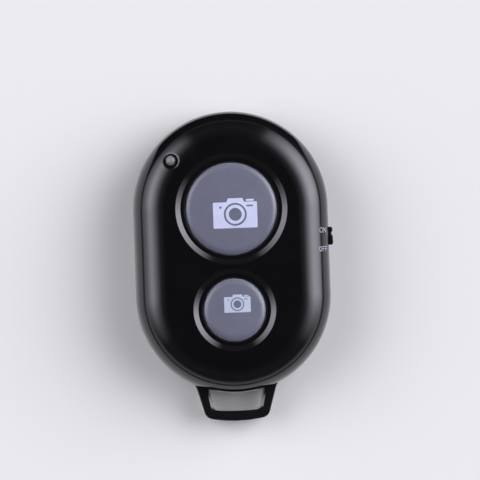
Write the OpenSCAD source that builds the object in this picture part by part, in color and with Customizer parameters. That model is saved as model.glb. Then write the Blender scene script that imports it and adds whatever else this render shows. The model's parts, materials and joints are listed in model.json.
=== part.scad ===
// Pocket camera shutter remote, lying on its back with its face up.
// X runs across the case, Y along it towards the large button, and Z up out of the face.
// The origin is on the flat back, under the middle of the case. Sizes are in millimetres.

/* [Case] */
// Width of the case across its straight sides
case_w = 32; // [31.6:0.1:33]
// Length of the case without its lanyard loop
case_l = 46.3; // [45.8:0.1:49]
// Height from the flat back to the flat face
case_h = 10; // [10:0.1:10.8]
// Wall of both case halves
wall = 1.2; // [1.1:0.05:1.3]
// Radius of the rounded shoulder round the face
shoulder_r = 5.2; // [4.8:0.1:5.2]
// Radius round the edge of the back
back_r = 2.6; // [2.2:0.1:2.8]
// Height of the joint between the case halves
split_z = 4.6; // [4.5:0.05:4.7]

/* [Buttons] */
// Diameter of the large button
large_d = 15; // [14.4:0.1:15.3]
// Diameter of the small button
small_d = 10.2; // [9.4:0.1:10.3]
// Distance between the centres of the two buttons
button_pitch = 16.6; // [16.5:0.1:16.9]
// How far the buttons stand above the face
button_proud = 0.2; // [0:0.05:0.4]
// Radius round the top edge of the buttons
button_edge_r = 0.7; // [0.4:0.05:0.75]
// How far a button goes down when it is pressed
button_travel = 0.3; // [0.2:0.05:0.35]
// Depth of the dished well round each button
dish_depth = 0.48; // [0.4:0.02:0.6]
// Flat ring between a button and the slope of its well
dish_floor_w = 0.85; // [0.7:0.05:0.95]
// Width of the slope of a well
dish_slope_w = 0.83; // [0.6:0.05:0.9]

/* [Indicator] */
// Distance of the indicator's centre from the rim of the case
led_inset = 3.4; // [3.2:0.1:3.6]
// Direction of the indicator from the large button, in degrees
led_angle = 139.6; // [136:0.2:144]
// Diameter of the indicator
led_d = 1.8; // [1.6:0.05:1.9]

/* [Power switch] */
// Length of the knob along the side
knob_l = 3; // [2.8:0.1:3.2]
// Height of the knob
knob_h = 1.4; // [1.2:0.05:1.5]
// How far the knob stands out of the side
knob_proud = 0.7; // [0.5:0.05:0.9]
// Travel of the knob between its two places
knob_travel = 1.5; // [1.3:0.05:1.6]
// Place of the knob along the side, where it is switched on
knob_on_y = 2.15; // [2:0.05:2.3]

/* [Lanyard loop] */
// Width of the loop where it leaves the case
loop_root_w = 14.3; // [14:0.1:14.8]
// Width of the loop at its far end, before its corners are rounded
loop_tip_w = 10.2; // [9.8:0.1:10.6]
// How far the loop stands out of the end of the case
loop_reach = 4.6; // [4.4:0.1:5.4]
// Thickness of the loop from back to front
loop_t = 2.8; // [2.4:0.1:3]
// Width of the bar across the end of the loop
loop_bar_w = 1.9; // [1.7:0.05:2]
// Width of the loop's two side arms
loop_arm_w = 2.3; // [2:0.05:2.4]

/* [Battery] */
// Diameter of the coin cell
cell_d = 20; // [19.8:0.1:20.1]
// Thickness of the coin cell
cell_h = 3.2; // [3.1:0.05:3.25]
// Place of the cell's centre along the case
cell_y = -4; // [-4.2:0.05:-3.8]
// Width of the back's rim on each side of the battery door
door_inset = 3.6; // [3.5:0.05:3.7]
// Thickness of the battery door
door_t = 1.2; // [1.15:0.05:1.25]

/* [Board] */
// Thickness of the circuit board
board_t = 1; // [0.9:0.05:1.05]

/* [Hidden] */

$fn = 96;
// How far every cut runs past the solid that it cuts
over = 0.4;

// Colours, as red, green and blue
case_black = [0.05, 0.05, 0.06];
button_grey = [0.44, 0.45, 0.52];
board_green = [0.06, 0.3, 0.16];
switch_black = [0.1, 0.1, 0.11];
steel = [0.72, 0.73, 0.75];
copper = [0.78, 0.5, 0.25];
clear_grey = [0.75, 0.78, 0.82];
chip_black = [0.12, 0.12, 0.13];
ceramic_tan = [0.66, 0.55, 0.42];
gasket_green = [0.35, 0.5, 0.42];

// Case: the ends are half circles round these two centres
case_r = case_w / 2;
cap_y = case_l / 2 - case_r;
case_inner_r = case_r - wall;
inner_face_z = case_h - wall;
// Tongue of the lower half that nests inside the upper half's wall
tongue_t = 0.5;
tongue_h = 0.7;
tongue_r = case_inner_r + tongue_t;
fit_gap = 0.1;
// Snap beads on the tongue at the far end, as the screws hold only the near end
snap_reach = 0.15;
snap_t = 0.3;
snap_inset = 0.05;
snap_z = split_z + tongue_h - snap_inset - snap_t;
snap_span = 24;
snap_span_gap = 1;
snap_turn = 24;
// Reveal groove round the joint
reveal = 0.2;

// Heights of what is stacked between the door and the buttons
cell_gap = 0.3;
cell_z = door_t + cell_gap;
contact_room = 0.6;
board_z = cell_z + cell_h + contact_room;
board_top_z = board_z + board_t;
tact_h = 1.6;
plunger_top_z = board_top_z + tact_h;

// Buttons
button_gap = 0.2;
button_crown_r = 80;
crown_steps = 360;
large_r = large_d / 2;
small_r = small_d / 2;
large_y = cap_y;
small_y = large_y - button_pitch;
button_top_z = case_h + button_proud;
button_skin = 1.1;
button_side = 1.1;
flange_w = 0.85;
flange_t = 0.75;
flange_gap = 0.1;
flange_top_z = inner_face_z - flange_gap;
post_r = 1.6;
post_gap = 0.05;
button_rib_t = 0.7;
// Key on the flange that keeps a button from turning, and the ring it runs in
key_w = 1.6;
key_reach = 0.7;
guide_gap = 0.25;
guide_t = 0.6;
guide_h = 1.5;

// Indicator
led_r = led_d / 2;
led_ring_r = case_r - led_inset;
led_x = led_ring_r * cos(led_angle);
led_y = large_y + led_ring_r * sin(led_angle);
led_hole_gap = 0.25;
led_sink = 0.35;
led_top_z = case_h - led_sink;
led_lift = 0.3;
led_foot_r = 1.2;
led_foot_t = 0.6;
led_crown_flat = 0.05;
led_lead_t = 0.4;
led_lead_pitch = 1.1;
led_lead_tail = 0.5;

// Power switch: its slider runs in the middle of its height, below the board
knob_plate_t = 0.4;
knob_plate_h = 2.1;
knob_plate_gap = 0.2;
slide_l = 6.7;
slide_w = 2.6;
slide_h = 1.4;
slide_metal = 0.15;
slide_gap = 0.15;
slide_front_x = case_inner_r - knob_plate_gap - knob_plate_t - knob_plate_gap / 2 - slide_metal;
slide_z = board_z - slide_h / 2;
slide_mid_y = knob_on_y - knob_travel / 2;
slider_l = 1.5;
slider_h = 0.8;
slider_depth = 1.1;
slider_gap = 0.1;
slider_reach = 1.3;
window_gap = 0.15;
window_l = knob_l + knob_travel + 2 * window_gap;
window_h = knob_h + 2 * window_gap;
// Plate behind the window, long enough to cover it at both ends of the knob's travel
knob_plate_lap = 0.1;
knob_plate_l = window_l + knob_travel + 2 * knob_plate_lap;
knob_saddle = 0.22;
knob_saddle_l = 2;
knob_saddle_shift = 0.35;
knob_fork_gap = 0.08;

// Lanyard loop
loop_z = 1.1;
loop_corner_r = 1.6;
loop_hole_corner_r = 0.8;
loop_crown = 0.35;
loop_bed = 3;
loop_steps = 8;
// Concave flare of the loop's arms where they leave the case
loop_flare_r = 2.6;
loop_flare_lap = 0.3;
case_end_y = -case_l / 2;
loop_end_y = case_end_y - loop_reach;

// Coin cell
cell_r = cell_d / 2;
can_t = 0.25;
can_rim_w = 1.2;
cap_r = cell_r - can_rim_w;
can_lip_drop = 0.35;
can_h = cell_h - can_lip_drop;
cap_skirt_h = 1;
gasket_w = 0.5;

// Battery bay of the lower half
well_gap = 0.3;
well_t = 0.8;
well_r = cell_r + well_gap;
well_top_gap = 0.35;
deck_t = 0.8;
deck_gap = 0.1;
deck_lap = 0.9;
door_gap = 0.15;
door_lead = 1;
door_r = case_r - door_inset;
door_low_y = -cap_y;
door_high_y = cell_y + door_lead;
door_flat_w = 9;
door_edge_y = door_high_y + sqrt(pow(door_r, 2) - pow(door_flat_w / 2, 2));
door_hinge_y = door_edge_y + door_gap;
door_end_y = door_low_y - door_r;
door_rib_r = 7;
door_rib_t = 0.8;
door_rib_h = 0.2;
// Hooks that go in over the back, and the latch beads along the door's straight sides
hook_w = 2.2;
hook_x = 3.2;
hook_reach = 1;
hook_t = 0.6;
hook_lift = 0.15;
hook_gap = 0.15;
hook_top_z = door_t + hook_lift + hook_t;
// Reach of the hooks' corners as they swing about the hinge line
hook_front_r = sqrt(pow(hook_reach - door_gap, 2) + pow(hook_top_z, 2));
hook_back_r = sqrt(pow(hook_t + door_gap, 2) + pow(hook_top_z, 2));
hook_back = sqrt(pow(hook_back_r, 2) - pow(door_t + deck_gap, 2));
latch_l = 3.4;
latch_r = 0.25;
latch_reach = 0.08;
// Slot for a coin's edge or a fingernail, beside the end of the door
pry_l = 6;
pry_depth = 0.8;
pry_lap = 0.35;

// Screws, from the battery bay up into the upper half
screw_r = 0.8;
screw_hole_gap = 0.15;
screw_bite_gap = 0.05;
screw_head_r = 1.45;
screw_head_h = 0.9;
screw_head_gap = 0.15;
screw_l = 5.4;
screw_tip = 0.6;
screw_slot_w = 0.3;
screw_slot_l = 1.9;
screw_slot_d = 0.45;
boss_r = 1.8;
boss_bed = 0.3;
screw_head_z = door_t + deck_gap;
screw_seat_z = screw_head_z + screw_head_h;
// Place beside the rounded end of the door's opening
screw_margin = 0.43;
screw_angle = 42.85;
screw_ring_r = door_r - screw_head_r - screw_head_gap - screw_margin;
screw_x = screw_ring_r * cos(screw_angle);
screw_y = door_low_y - screw_ring_r * sin(screw_angle);

// Board, its locating post and its rests
board_gap = 0.8;
board_r = case_inner_r - board_gap;
board_hole_gap = 0.3;
post_inset = 4.35;
post_y = case_l / 2 - post_inset;
locate_r = 1.1;
locate_pin_r = 0.6;
rest_r = 0.9;
rest_inset = 2.08;
rest_angle = 27.2;
rest_x = (board_r - rest_inset) * cos(rest_angle);
rest_y = cap_y + (board_r - rest_inset) * sin(rest_angle);

// Flat springs of the coin cell
spring_t = 0.2;
spring_touch_gap = 0.05;
contact_w = 4;
contact_gap = 0.3;
contact_pad_l = 2;
contact_leg_y = 0.65;
contact_bend_z = 1.1;
contact_foot_z = 0.9;
negative_w = 3;
negative_pad_y = -8;
negative_tip_y = 2.2;
negative_tip_rise = 0.25;

// Board parts, each as its width, length and height
radio_size = [5, 5, 0.85];
memory_size = [3, 3, 0.8];
crystal_size = [3.2, 2.5, 0.4];
crystal_lid_inset = 0.2;
crystal_lid_t = 0.3;
chip_lead_w = 0.3;
chip_lead_l = 0.35;
chip_lead_t = 0.15;
chip_leads = 4;
passive_size = [1, 0.5, 0.5];
passive_end = 0.22;
// Places on the board, as shares of its radius across it and of the case's half length along it
radio_place_share = [-0.34, -0.045];
memory_place_share = [0.36, -0.06];
crystal_place_share = [-0.74, -0.04];
capacitor_places_share = [
    [-0.58, -0.2], [-0.42, -0.2], [-0.7, 0.08], [0.62, 0.06], [0.62, -0.02], [0.55, 0.5], [-0.5, 0.62]
];
resistor_places_share = [[0.3, 0.07], [0.3, -0.19], [-0.62, 0.55], [0.6, -0.3], [-0.6, -0.3]];
// Antenna: a copper meander at the far end of the board
antenna_x = 3.4;
antenna_inset = 9.75;
antenna_y = case_l / 2 - antenna_inset;
antenna_h = 3.2;
antenna_line = 0.4;
antenna_pitch = 0.95;
antenna_runs = 6;
copper_t = 0.05;

// Tactile switches
tact_w = 5.2;
tact_base_h = 0.9;
tact_cut = 0.6;
tact_cover_t = 0.15;
tact_well_r = 1.95;
tact_cover_hole_gap = 0.1;
tact_ear_w = 1.6;
tact_ear_h = 0.5;
plunger_r = 1.3;
plunger_foot_r = 1.75;
plunger_foot_t = 0.18;
plunger_gap = 0.04;
dome_t = 0.1;
dome_gap = 0.04;
dome_r = 1.8;
lead_w = 0.7;
lead_t = 0.15;
lead_reach = 0.7;
lead_rise = 0.45;
lead_y = 1.85;
travel_spare = 0.1;
dome_h = button_travel + travel_spare - dome_gap;
tact_well_d = plunger_gap + plunger_foot_t + button_travel + travel_spare;
tact_base_z = board_top_z + tact_base_h;
tact_well_z = tact_base_z - tact_well_d;
plunger_foot_z = tact_base_z - plunger_gap - plunger_foot_t;

// Case

// Half outline of a rounded top: full height in the middle, rounded at its outer edge
module round_top(r, low, high, edge) {
    difference() {
        translate([0, low]) square([r, high - low]);
        translate([r - edge, high - edge]) difference() {
            square([edge + over, edge + over]);
            circle(edge);
        }
    }
}

// Half outline of a rounded top whose face is slightly crowned and runs into its rounded edge
module crowned_top(r, low, high, edge, crown_r) {
    hub_z = high - crown_r;
    edge_z = hub_z + sqrt(pow(crown_r - edge, 2) - pow(r - edge, 2));
    spread = crown_r / (crown_r - edge);
    join_x = (r - edge) * spread;
    join_z = hub_z + (edge_z - hub_z) * spread;
    intersection() {
        union() {
            translate([0, low]) square([r, edge_z - low]);
            translate([r - edge, edge_z]) circle(edge);
            polygon([
                [0, low], [r - edge, low], [r - edge, edge_z],
                [join_x, join_z], [join_x, high], [0, high],
            ]);
        }
        translate([0, hub_z]) circle(crown_r, $fn = crown_steps);
    }
}

// Half outline of a rounded bottom
module round_bottom(r, low, high, edge) {
    translate([0, low + high]) mirror([0, 1]) round_top(r, low, high, edge);
}

// Sweeps a half outline round a long shape with two half-round ends
module oblong(low_y, high_y) {
    translate([0, high_y, 0]) rotate_extrude(angle = 180) children();
    translate([0, low_y, 0]) rotate([0, 0, 180]) rotate_extrude(angle = 180) children();
    translate([0, high_y, 0]) rotate([90, 0, 0]) linear_extrude(high_y - low_y) {
        children();
        mirror([1, 0]) children();
    }
}

// Plain slab of the same shape
module oblong_slab(r, low_y, high_y, low, high) {
    oblong(low_y, high_y) translate([0, low]) square([r, high - low]);
}

// Window for the knob, cut through both halves
module knob_window() {
    translate([case_r - wall - over, slide_mid_y - window_l / 2, slide_z - window_h / 2])
        cube([wall + 2 * over, window_l, window_h]);
}

// Turns a half outline into two arcs round the far end, one on each side of its middle
module snap_arcs(span) {
    for (side = [-1, 1]) translate([0, cap_y, 0]) rotate([0, 0, 90 + side * snap_turn - span / 2])
        rotate_extrude(angle = span) children();
}

module at_screws() {
    for (side = [-1, 1]) translate([side * screw_x, screw_y, 0]) children();
}

module dish(r) {
    floor_r = r + dish_floor_w;
    rim_r = floor_r + dish_slope_w;
    translate([0, 0, case_h - dish_depth]) cylinder(h = dish_depth, r1 = floor_r, r2 = rim_r);
    translate([0, 0, case_h]) cylinder(h = over, r = rim_r);
    translate([0, 0, inner_face_z - over]) cylinder(h = wall + 2 * over, r = r + button_gap);
}

// Ring under the face that a button's flange runs in, open at its key
module button_guide(r) {
    guide_r = r + flange_w + guide_gap;
    difference() {
        translate([0, 0, inner_face_z - guide_h]) cylinder(h = guide_h + boss_bed, r = guide_r + guide_t);
        translate([0, 0, inner_face_z - guide_h - over]) cylinder(h = guide_h + over, r = guide_r);
        translate([0, 0, inner_face_z]) cylinder(h = boss_bed + over, r = r + button_gap);
        translate([0, -key_w / 2 - guide_gap, inner_face_z - guide_h - over])
            cube([guide_r + guide_t + over, key_w + 2 * guide_gap, guide_h + over]);
    }
}

module upper_case() {
    color(case_black) difference() {
        union() {
            difference() {
                oblong(-cap_y, cap_y) round_top(case_r, split_z, case_h, shoulder_r);
                oblong(-cap_y, cap_y)
                    round_top(case_inner_r, split_z - over, inner_face_z, shoulder_r - wall);
                oblong_slab(tongue_r + fit_gap, -cap_y, cap_y,
                    split_z - over, split_z + tongue_h + fit_gap);
                snap_arcs(snap_span + 2 * snap_span_gap) translate([tongue_r, snap_z - fit_gap])
                    square([snap_reach + fit_gap, split_z + tongue_h + 2 * fit_gap - snap_z]);
            }
            translate([0, large_y, 0]) button_guide(large_r);
            translate([0, small_y, 0]) button_guide(small_r);
            at_screws() translate([0, 0, board_top_z])
                cylinder(h = inner_face_z + boss_bed - board_top_z, r = boss_r);
            translate([0, post_y, board_top_z])
                cylinder(h = inner_face_z - board_top_z, r = locate_r);
            translate([0, post_y, board_z + fit_gap])
                cylinder(h = board_t + boss_bed - fit_gap, r = locate_pin_r);
        }
        translate([0, large_y, 0]) dish(large_r);
        translate([0, small_y, 0]) dish(small_r);
        at_screws() translate([0, 0, board_top_z - over])
            cylinder(h = screw_seat_z + screw_l + fit_gap + over - board_top_z, r = screw_r + screw_bite_gap);
        translate([led_x, led_y, inner_face_z - guide_h - over])
            cylinder(h = guide_h + wall + 2 * over, r = led_r + led_hole_gap);
        knob_window();
    }
}

// Outline of the battery door, or of its opening when grown by a gap
module door_slab(grow, low, high) {
    difference() {
        oblong_slab(door_r + grow, door_low_y, door_high_y, low, high);
        translate([-door_r, door_edge_y + grow, low - over])
            cube([2 * door_r, door_r, high - low + 2 * over]);
    }
}

// Points along the round of a corner, from one direction to another
function corner(at, r, from, to) =
    [for (i = [0 : loop_steps]) let (a = from + (to - from) * i / loop_steps) at + r * [cos(a), sin(a)]];

// Root of an arm: from inside the case, along its round end and by a concave arc into the arm's side
function flare_points(root, lean) =
    let (
        along = [-sin(lean), -cos(lean)],
        across = [cos(lean), -sin(lean)],
        centre = [0, -cap_y],
        start = root + loop_flare_r * across - centre,
        reach = case_r - loop_flare_lap + loop_flare_r,
        down = sqrt(pow(start * along, 2) - start * start + pow(reach, 2)) - start * along,
        hub = centre + start + down * along,
        from = atan2(centre[1] - hub[1], centre[0] - hub[0]),
        arc = corner(hub, loop_flare_r, from, 180 - lean)
    )
    concat([centre + (arc[0] - centre) * (1 - loop_bed / case_r)], arc);

// Outline that narrows towards the far end and is rounded there, crowned by a shallow arc
function taper_outline(root_w, root_y, tip_w, tip_y, r, crown, flared) =
    let (
        lean = atan2((root_w - tip_w) / 2, root_y - tip_y),
        root = [root_w / 2, root_y],
        in_x = tip_w / 2 + r * (tan(lean) - 1 / cos(lean)),
        right = concat(
            flared ? flare_points(root, lean) : [root],
            corner([in_x, tip_y + r + crown], r, -lean, -90)
        ),
        left = [for (i = [len(right) - 1 : -1 : 0]) [-right[i][0], right[i][1]]]
    )
    concat(right, crown > 0 ? [[0, tip_y]] : [], left);

module lanyard_loop() {
    hole_root_w = loop_root_w - 2 * loop_arm_w;
    hole_tip_w = loop_tip_w - 2 * loop_arm_w + loop_bar_w;
    root_y = case_end_y + loop_bed;
    hole_end_y = loop_end_y + loop_bar_w;
    translate([0, 0, loop_z]) difference() {
        linear_extrude(loop_t) polygon(taper_outline(
            loop_root_w, root_y, loop_tip_w, loop_end_y, loop_corner_r, loop_crown, true));
        translate([0, 0, -over]) linear_extrude(loop_t + 2 * over) polygon(taper_outline(
            hole_root_w, root_y, hole_tip_w, hole_end_y, loop_hole_corner_r, 0, false));
    }
}

module lower_case() {
    color(case_black) difference() {
        union() {
            difference() {
                union() {
                    oblong(-cap_y, cap_y) round_bottom(case_r, 0, split_z, back_r);
                    oblong_slab(tongue_r, -cap_y, cap_y, split_z - wall, split_z + tongue_h);
                    lanyard_loop();
                }
                oblong(-cap_y, cap_y)
                    round_bottom(case_inner_r, wall, split_z + tongue_h + over, back_r - wall);
                // Reveal groove at the joint
                difference() {
                    oblong_slab(case_r + over, -cap_y, cap_y, split_z - reveal, split_z + over);
                    oblong_slab(case_r - reveal, -cap_y, cap_y, split_z - reveal - over, split_z + 2 * over);
                }
            }
            // A snap bead slopes on top, to ride in, and is square below, to hold
            snap_arcs(snap_span) polygon([
                [tongue_r - fit_gap, snap_z], [tongue_r + snap_reach, snap_z],
                [tongue_r + snap_reach, snap_z + snap_t - snap_reach], [tongue_r, snap_z + snap_t],
                [tongue_r - fit_gap, snap_z + snap_t]
            ]);
            door_slab(deck_lap, wall - boss_bed, door_t + deck_gap + deck_t);
            translate([0, cell_y, wall - boss_bed])
                cylinder(h = board_z - well_top_gap - wall + boss_bed, r = well_r + well_t);
            at_screws() translate([0, 0, wall]) cylinder(h = board_z - wall, r = boss_r);
            for (side = [-1, 1]) translate([side * rest_x, rest_y, wall - boss_bed])
                cylinder(h = board_z - wall + boss_bed, r = rest_r);
            translate([0, post_y, wall - boss_bed]) cylinder(h = board_z - wall + boss_bed, r = locate_r);
        }
        door_slab(door_gap, -over, door_t + deck_gap);
        translate([0, cell_y, -over]) cylinder(h = board_z + over, r = well_r);
        at_screws() {
            translate([0, 0, -over]) cylinder(h = screw_seat_z + over, r = screw_head_r + screw_head_gap);
            translate([0, 0, -over]) cylinder(h = board_z + 2 * over, r = screw_r + screw_hole_gap);
        }
        door_hook_room();
        contact_room_cut();
        slide_switch_room();
        pry_slot();
        knob_window();
    }
}

// Room through the deck for the door's hooks, also as they swing up about the hinge line
module door_hook_room() {
    for (side = [-1, 1])
        translate([side * hook_x - hook_w / 2 - hook_gap, door_hinge_y - hook_back - hook_gap, door_t])
            cube([
                hook_w + 2 * hook_gap,
                hook_back + hook_reach + 2 * hook_gap,
                hook_front_r + hook_gap - door_t
            ]);
}

// Gap in the cell's well that the positive contact stands in
module contact_room_cut() {
    translate([-contact_w / 2 - contact_gap, cell_y + cell_r - contact_gap, door_t + deck_gap + deck_t])
        cube([contact_w + 2 * contact_gap, well_gap + well_t + 2 * contact_gap, board_z]);
}

// Room for the power switch beside the cell's well
module slide_switch_room() {
    translate([
        slide_front_x - slide_w - slide_metal - slide_gap,
        slide_mid_y - slide_l / 2 - slide_gap,
        board_z - slide_h - slide_metal - slide_gap
    ]) cube([slide_w + 2 * slide_metal + 2 * slide_gap, slide_l + 2 * slide_gap, slide_h + wall]);
}

module pry_slot() {
    translate([-pry_l / 2, case_end_y - over, -over])
        cube([pry_l, door_end_y - case_end_y + over + pry_lap, pry_depth + over]);
}

// Battery door: it tips out about its straight edge
module battery_door() {
    color(case_black) {
        difference() {
            union() {
                door_slab(0, 0, door_t);
                translate([0, cell_y, door_t - door_rib_h]) cylinder(h = 2 * door_rib_h, r = door_rib_r);
                for (side = [-1, 1]) {
                    door_hook(side);
                    translate([
                        side * (door_r + latch_reach - latch_r),
                        (door_low_y + door_high_y + latch_l) / 2,
                        door_t / 2
                    ]) rotate([90, 0, 0]) cylinder(h = latch_l, r = latch_r);
                }
            }
            translate([0, cell_y, door_t]) cylinder(h = door_t, r = door_rib_r - door_rib_t);
        }
    }
}

module door_hook(side) {
    translate([side * hook_x - hook_w / 2, door_edge_y - hook_t, 0]) {
        translate([0, 0, door_t - hook_lift]) cube([hook_w, hook_t, 2 * hook_lift + hook_t]);
        translate([0, 0, door_t + hook_lift]) cube([hook_w, hook_t + hook_reach, hook_t]);
    }
}

// Buttons

// Round cap with a flange below the face, ribs inside and a post onto the switch
module button(r) {
    skirt_low_z = flange_top_z - flange_t;
    ceiling_z = button_top_z - button_skin;
    inner_r = r - button_side;
    difference() {
        union() {
            rotate_extrude() crowned_top(r, skirt_low_z, button_top_z, button_edge_r, button_crown_r);
            translate([0, 0, skirt_low_z]) cylinder(h = flange_t, r = r + flange_w);
            translate([r, -key_w / 2, skirt_low_z]) cube([flange_w + key_reach, key_w, flange_t]);
        }
        translate([0, 0, skirt_low_z - over]) cylinder(h = ceiling_z - skirt_low_z + over, r = inner_r);
    }
    translate([0, 0, plunger_top_z + post_gap])
        cylinder(h = ceiling_z + boss_bed - plunger_top_z - post_gap, r = post_r);
    for (turn = [0, 90]) rotate([0, 0, turn])
        translate([-inner_r - boss_bed, -button_rib_t / 2, skirt_low_z + flange_t / 2])
            cube([2 * (inner_r + boss_bed), button_rib_t, ceiling_z + boss_bed - skirt_low_z - flange_t / 2]);
}

module large_button() {
    color(button_grey) translate([0, large_y, 0]) button(large_r);
}

module small_button() {
    color(button_grey) translate([0, small_y, 0]) button(small_r);
}

// Tactile switches: a base with a snap dome, a steel cover and a plunger

module tact_square(low, high) {
    half = tact_w / 2;
    translate([0, 0, low]) linear_extrude(high - low) polygon([
        [half, half - tact_cut], [half - tact_cut, half], [tact_cut - half, half], [-half, half - tact_cut],
        [-half, tact_cut - half], [tact_cut - half, -half], [half - tact_cut, -half], [half, tact_cut - half]
    ]);
}

module tact_base() {
    color(switch_black) difference() {
        tact_square(board_top_z, tact_base_z);
        translate([0, 0, tact_well_z]) cylinder(h = tact_well_d + over, r = tact_well_r);
    }
}

module tact_cover() {
    color(steel) {
        difference() {
            tact_square(tact_base_z, tact_base_z + tact_cover_t);
            translate([0, 0, tact_base_z - over])
                cylinder(h = tact_cover_t + 2 * over, r = plunger_r + tact_cover_hole_gap);
        }
        // Ears folded down over two sides of the base
        for (turn = [0, 180]) rotate([0, 0, turn]) {
            translate([-tact_ear_w / 2, tact_w / 2 - tact_cover_t, tact_base_z])
                cube([tact_ear_w, 2 * tact_cover_t, tact_cover_t]);
            translate([-tact_ear_w / 2, tact_w / 2, tact_base_z - tact_ear_h])
                cube([tact_ear_w, tact_cover_t, tact_ear_h + tact_cover_t]);
        }
    }
}

// Thin snap dome: a slice off a hollow ball
module tact_dome() {
    ball_r = (pow(dome_r, 2) + pow(dome_h, 2)) / (2 * dome_h);
    color(steel) intersection() {
        translate([0, 0, tact_well_z + dome_h - ball_r]) difference() {
            sphere(ball_r);
            sphere(ball_r - dome_t);
        }
        translate([0, 0, tact_well_z]) cylinder(h = dome_h + over, r = dome_r);
    }
}

module tact_plunger() {
    color(switch_black) {
        translate([0, 0, plunger_foot_z]) cylinder(h = plunger_foot_t, r = plunger_foot_r);
        translate([0, 0, plunger_foot_z]) cylinder(h = plunger_top_z - plunger_foot_z, r = plunger_r);
    }
}

// Four bent legs, soldered flat on the board
module tact_leads() {
    color(steel) for (turn = [0, 180]) rotate([0, 0, turn]) for (side = [-1, 1])
        translate([tact_w / 2, side * lead_y + lead_w / 2, board_top_z]) rotate([90, 0, 0])
            linear_extrude(lead_w) polygon([
                [0, 0], [lead_reach, 0], [lead_reach, lead_t],
                [lead_t, lead_t], [lead_t, lead_rise], [0, lead_rise]
            ]);
}

module large_switch_base() { translate([0, large_y, 0]) tact_base(); }
module large_switch_cover() { translate([0, large_y, 0]) tact_cover(); }
module large_switch_dome() { translate([0, large_y, 0]) tact_dome(); }
module large_switch_plunger() { translate([0, large_y, 0]) tact_plunger(); }
module large_switch_leads() { translate([0, large_y, 0]) tact_leads(); }
module small_switch_base() { translate([0, small_y, 0]) tact_base(); }
module small_switch_cover() { translate([0, small_y, 0]) tact_cover(); }
module small_switch_dome() { translate([0, small_y, 0]) tact_dome(); }
module small_switch_plunger() { translate([0, small_y, 0]) tact_plunger(); }
module small_switch_leads() { translate([0, small_y, 0]) tact_leads(); }

// Power switch

// Block of the slider's section, from the back of its groove to a given reach, along a given length
module slider_block(mid_y, l, gap, end_x) {
    back_x = slide_front_x - slider_depth;
    translate([back_x - gap, mid_y - l / 2 - gap, slide_z - slider_h / 2 - gap])
        cube([end_x - back_x + gap, l + 2 * gap, slider_h + 2 * gap]);
}

module slide_switch_base() {
    color(switch_black) difference() {
        translate([slide_front_x - slide_w, slide_mid_y - slide_l / 2, board_z - slide_h])
            cube([slide_w, slide_l, slide_h]);
        slider_block(slide_mid_y, slider_l + knob_travel, slider_gap, slide_front_x + over);
    }
}

// Steel shell wrapped under the base and up its two long sides
module slide_switch_shell() {
    color(steel) difference() {
        translate([
            slide_front_x - slide_w - slide_metal, slide_mid_y - slide_l / 2, board_z - slide_h - slide_metal
        ]) cube([slide_w + 2 * slide_metal, slide_l, slide_h + slide_metal]);
        translate([slide_front_x - slide_w, slide_mid_y - slide_l / 2 - over, board_z - slide_h])
            cube([slide_w, slide_l + 2 * over, slide_h + over]);
        slider_block(slide_mid_y, slider_l + knob_travel, slider_gap, slide_front_x + slide_metal + over);
    }
}

module slide_switch_actuator() {
    color(switch_black) slider_block(knob_on_y, slider_l, 0, slide_front_x + slider_reach);
}

// Knob: a head in the window, a plate behind the wall and a socket for the slider
module switch_knob() {
    plate_x = case_inner_r - knob_plate_gap - knob_plate_t;
    top_x = case_r + knob_proud;
    saddle_r = (pow(knob_saddle_l / 2, 2) + pow(knob_saddle, 2)) / (2 * knob_saddle);
    saddle_y = knob_on_y + knob_saddle_shift;
    color(case_black) difference() {
        union() {
            translate([plate_x, knob_on_y - knob_plate_l / 2, slide_z - knob_plate_h / 2])
                cube([knob_plate_t, knob_plate_l, knob_plate_h]);
            translate([plate_x, knob_on_y - knob_l / 2, slide_z - knob_h / 2])
                cube([top_x - plate_x, knob_l, knob_h]);
        }
        translate([top_x - knob_saddle + saddle_r, saddle_y, slide_z - knob_h / 2 - over])
            cylinder(h = knob_h + 2 * over, r = saddle_r);
        slider_block(knob_on_y, slider_l, knob_fork_gap, slide_front_x + slider_reach + slider_gap);
    }
}

// Indicator

module status_led() {
    color(clear_grey) translate([led_x, led_y, 0]) {
        rotate_extrude() round_top(led_r, board_top_z + led_lift, led_top_z, led_r - led_crown_flat);
        translate([0, 0, board_top_z + led_lift]) cylinder(h = led_foot_t, r = led_foot_r);
    }
}

// The two square legs, or the holes for them when grown by a gap
module led_legs(gap) {
    half = led_lead_t / 2 + gap;
    for (side = [-1, 1]) translate([led_x + side * led_lead_pitch / 2, led_y, board_z - led_lead_tail])
        translate([-half, -half, 0]) cube([2 * half, 2 * half, led_lead_tail + board_t + led_lift]);
}

module led_leads() { color(steel) led_legs(0); }

// Circuit board and what is soldered on it

module circuit_board() {
    color(board_green) difference() {
        oblong_slab(board_r, -cap_y, cap_y, board_z, board_top_z);
        at_screws() translate([0, 0, board_z - over])
            cylinder(h = board_t + 2 * over, r = screw_r + board_hole_gap);
        translate([0, post_y, board_z - over]) cylinder(h = board_t + 2 * over, r = locate_pin_r + fit_gap);
        led_legs(fit_gap);
    }
}

module on_board(place_share) {
    translate([place_share[0] * board_r, place_share[1] * case_l / 2, board_top_z]) children();
}

// Block centred on its place and standing on the board
module chip_block(size, low = 0) {
    translate([-size[0] / 2, -size[1] / 2, low]) cube(size);
}

// Chip with a row of legs along two sides
module legged_chip(size) {
    pitch = size[1] / chip_leads;
    chip_block(size);
    for (turn = [0, 180]) rotate([0, 0, turn]) for (i = [0 : chip_leads - 1])
        translate([size[0] / 2 - chip_lead_t, (i - (chip_leads - 1) / 2) * pitch - chip_lead_w / 2, 0])
            cube([chip_lead_t + chip_lead_l, chip_lead_w, chip_lead_t]);
}

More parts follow.
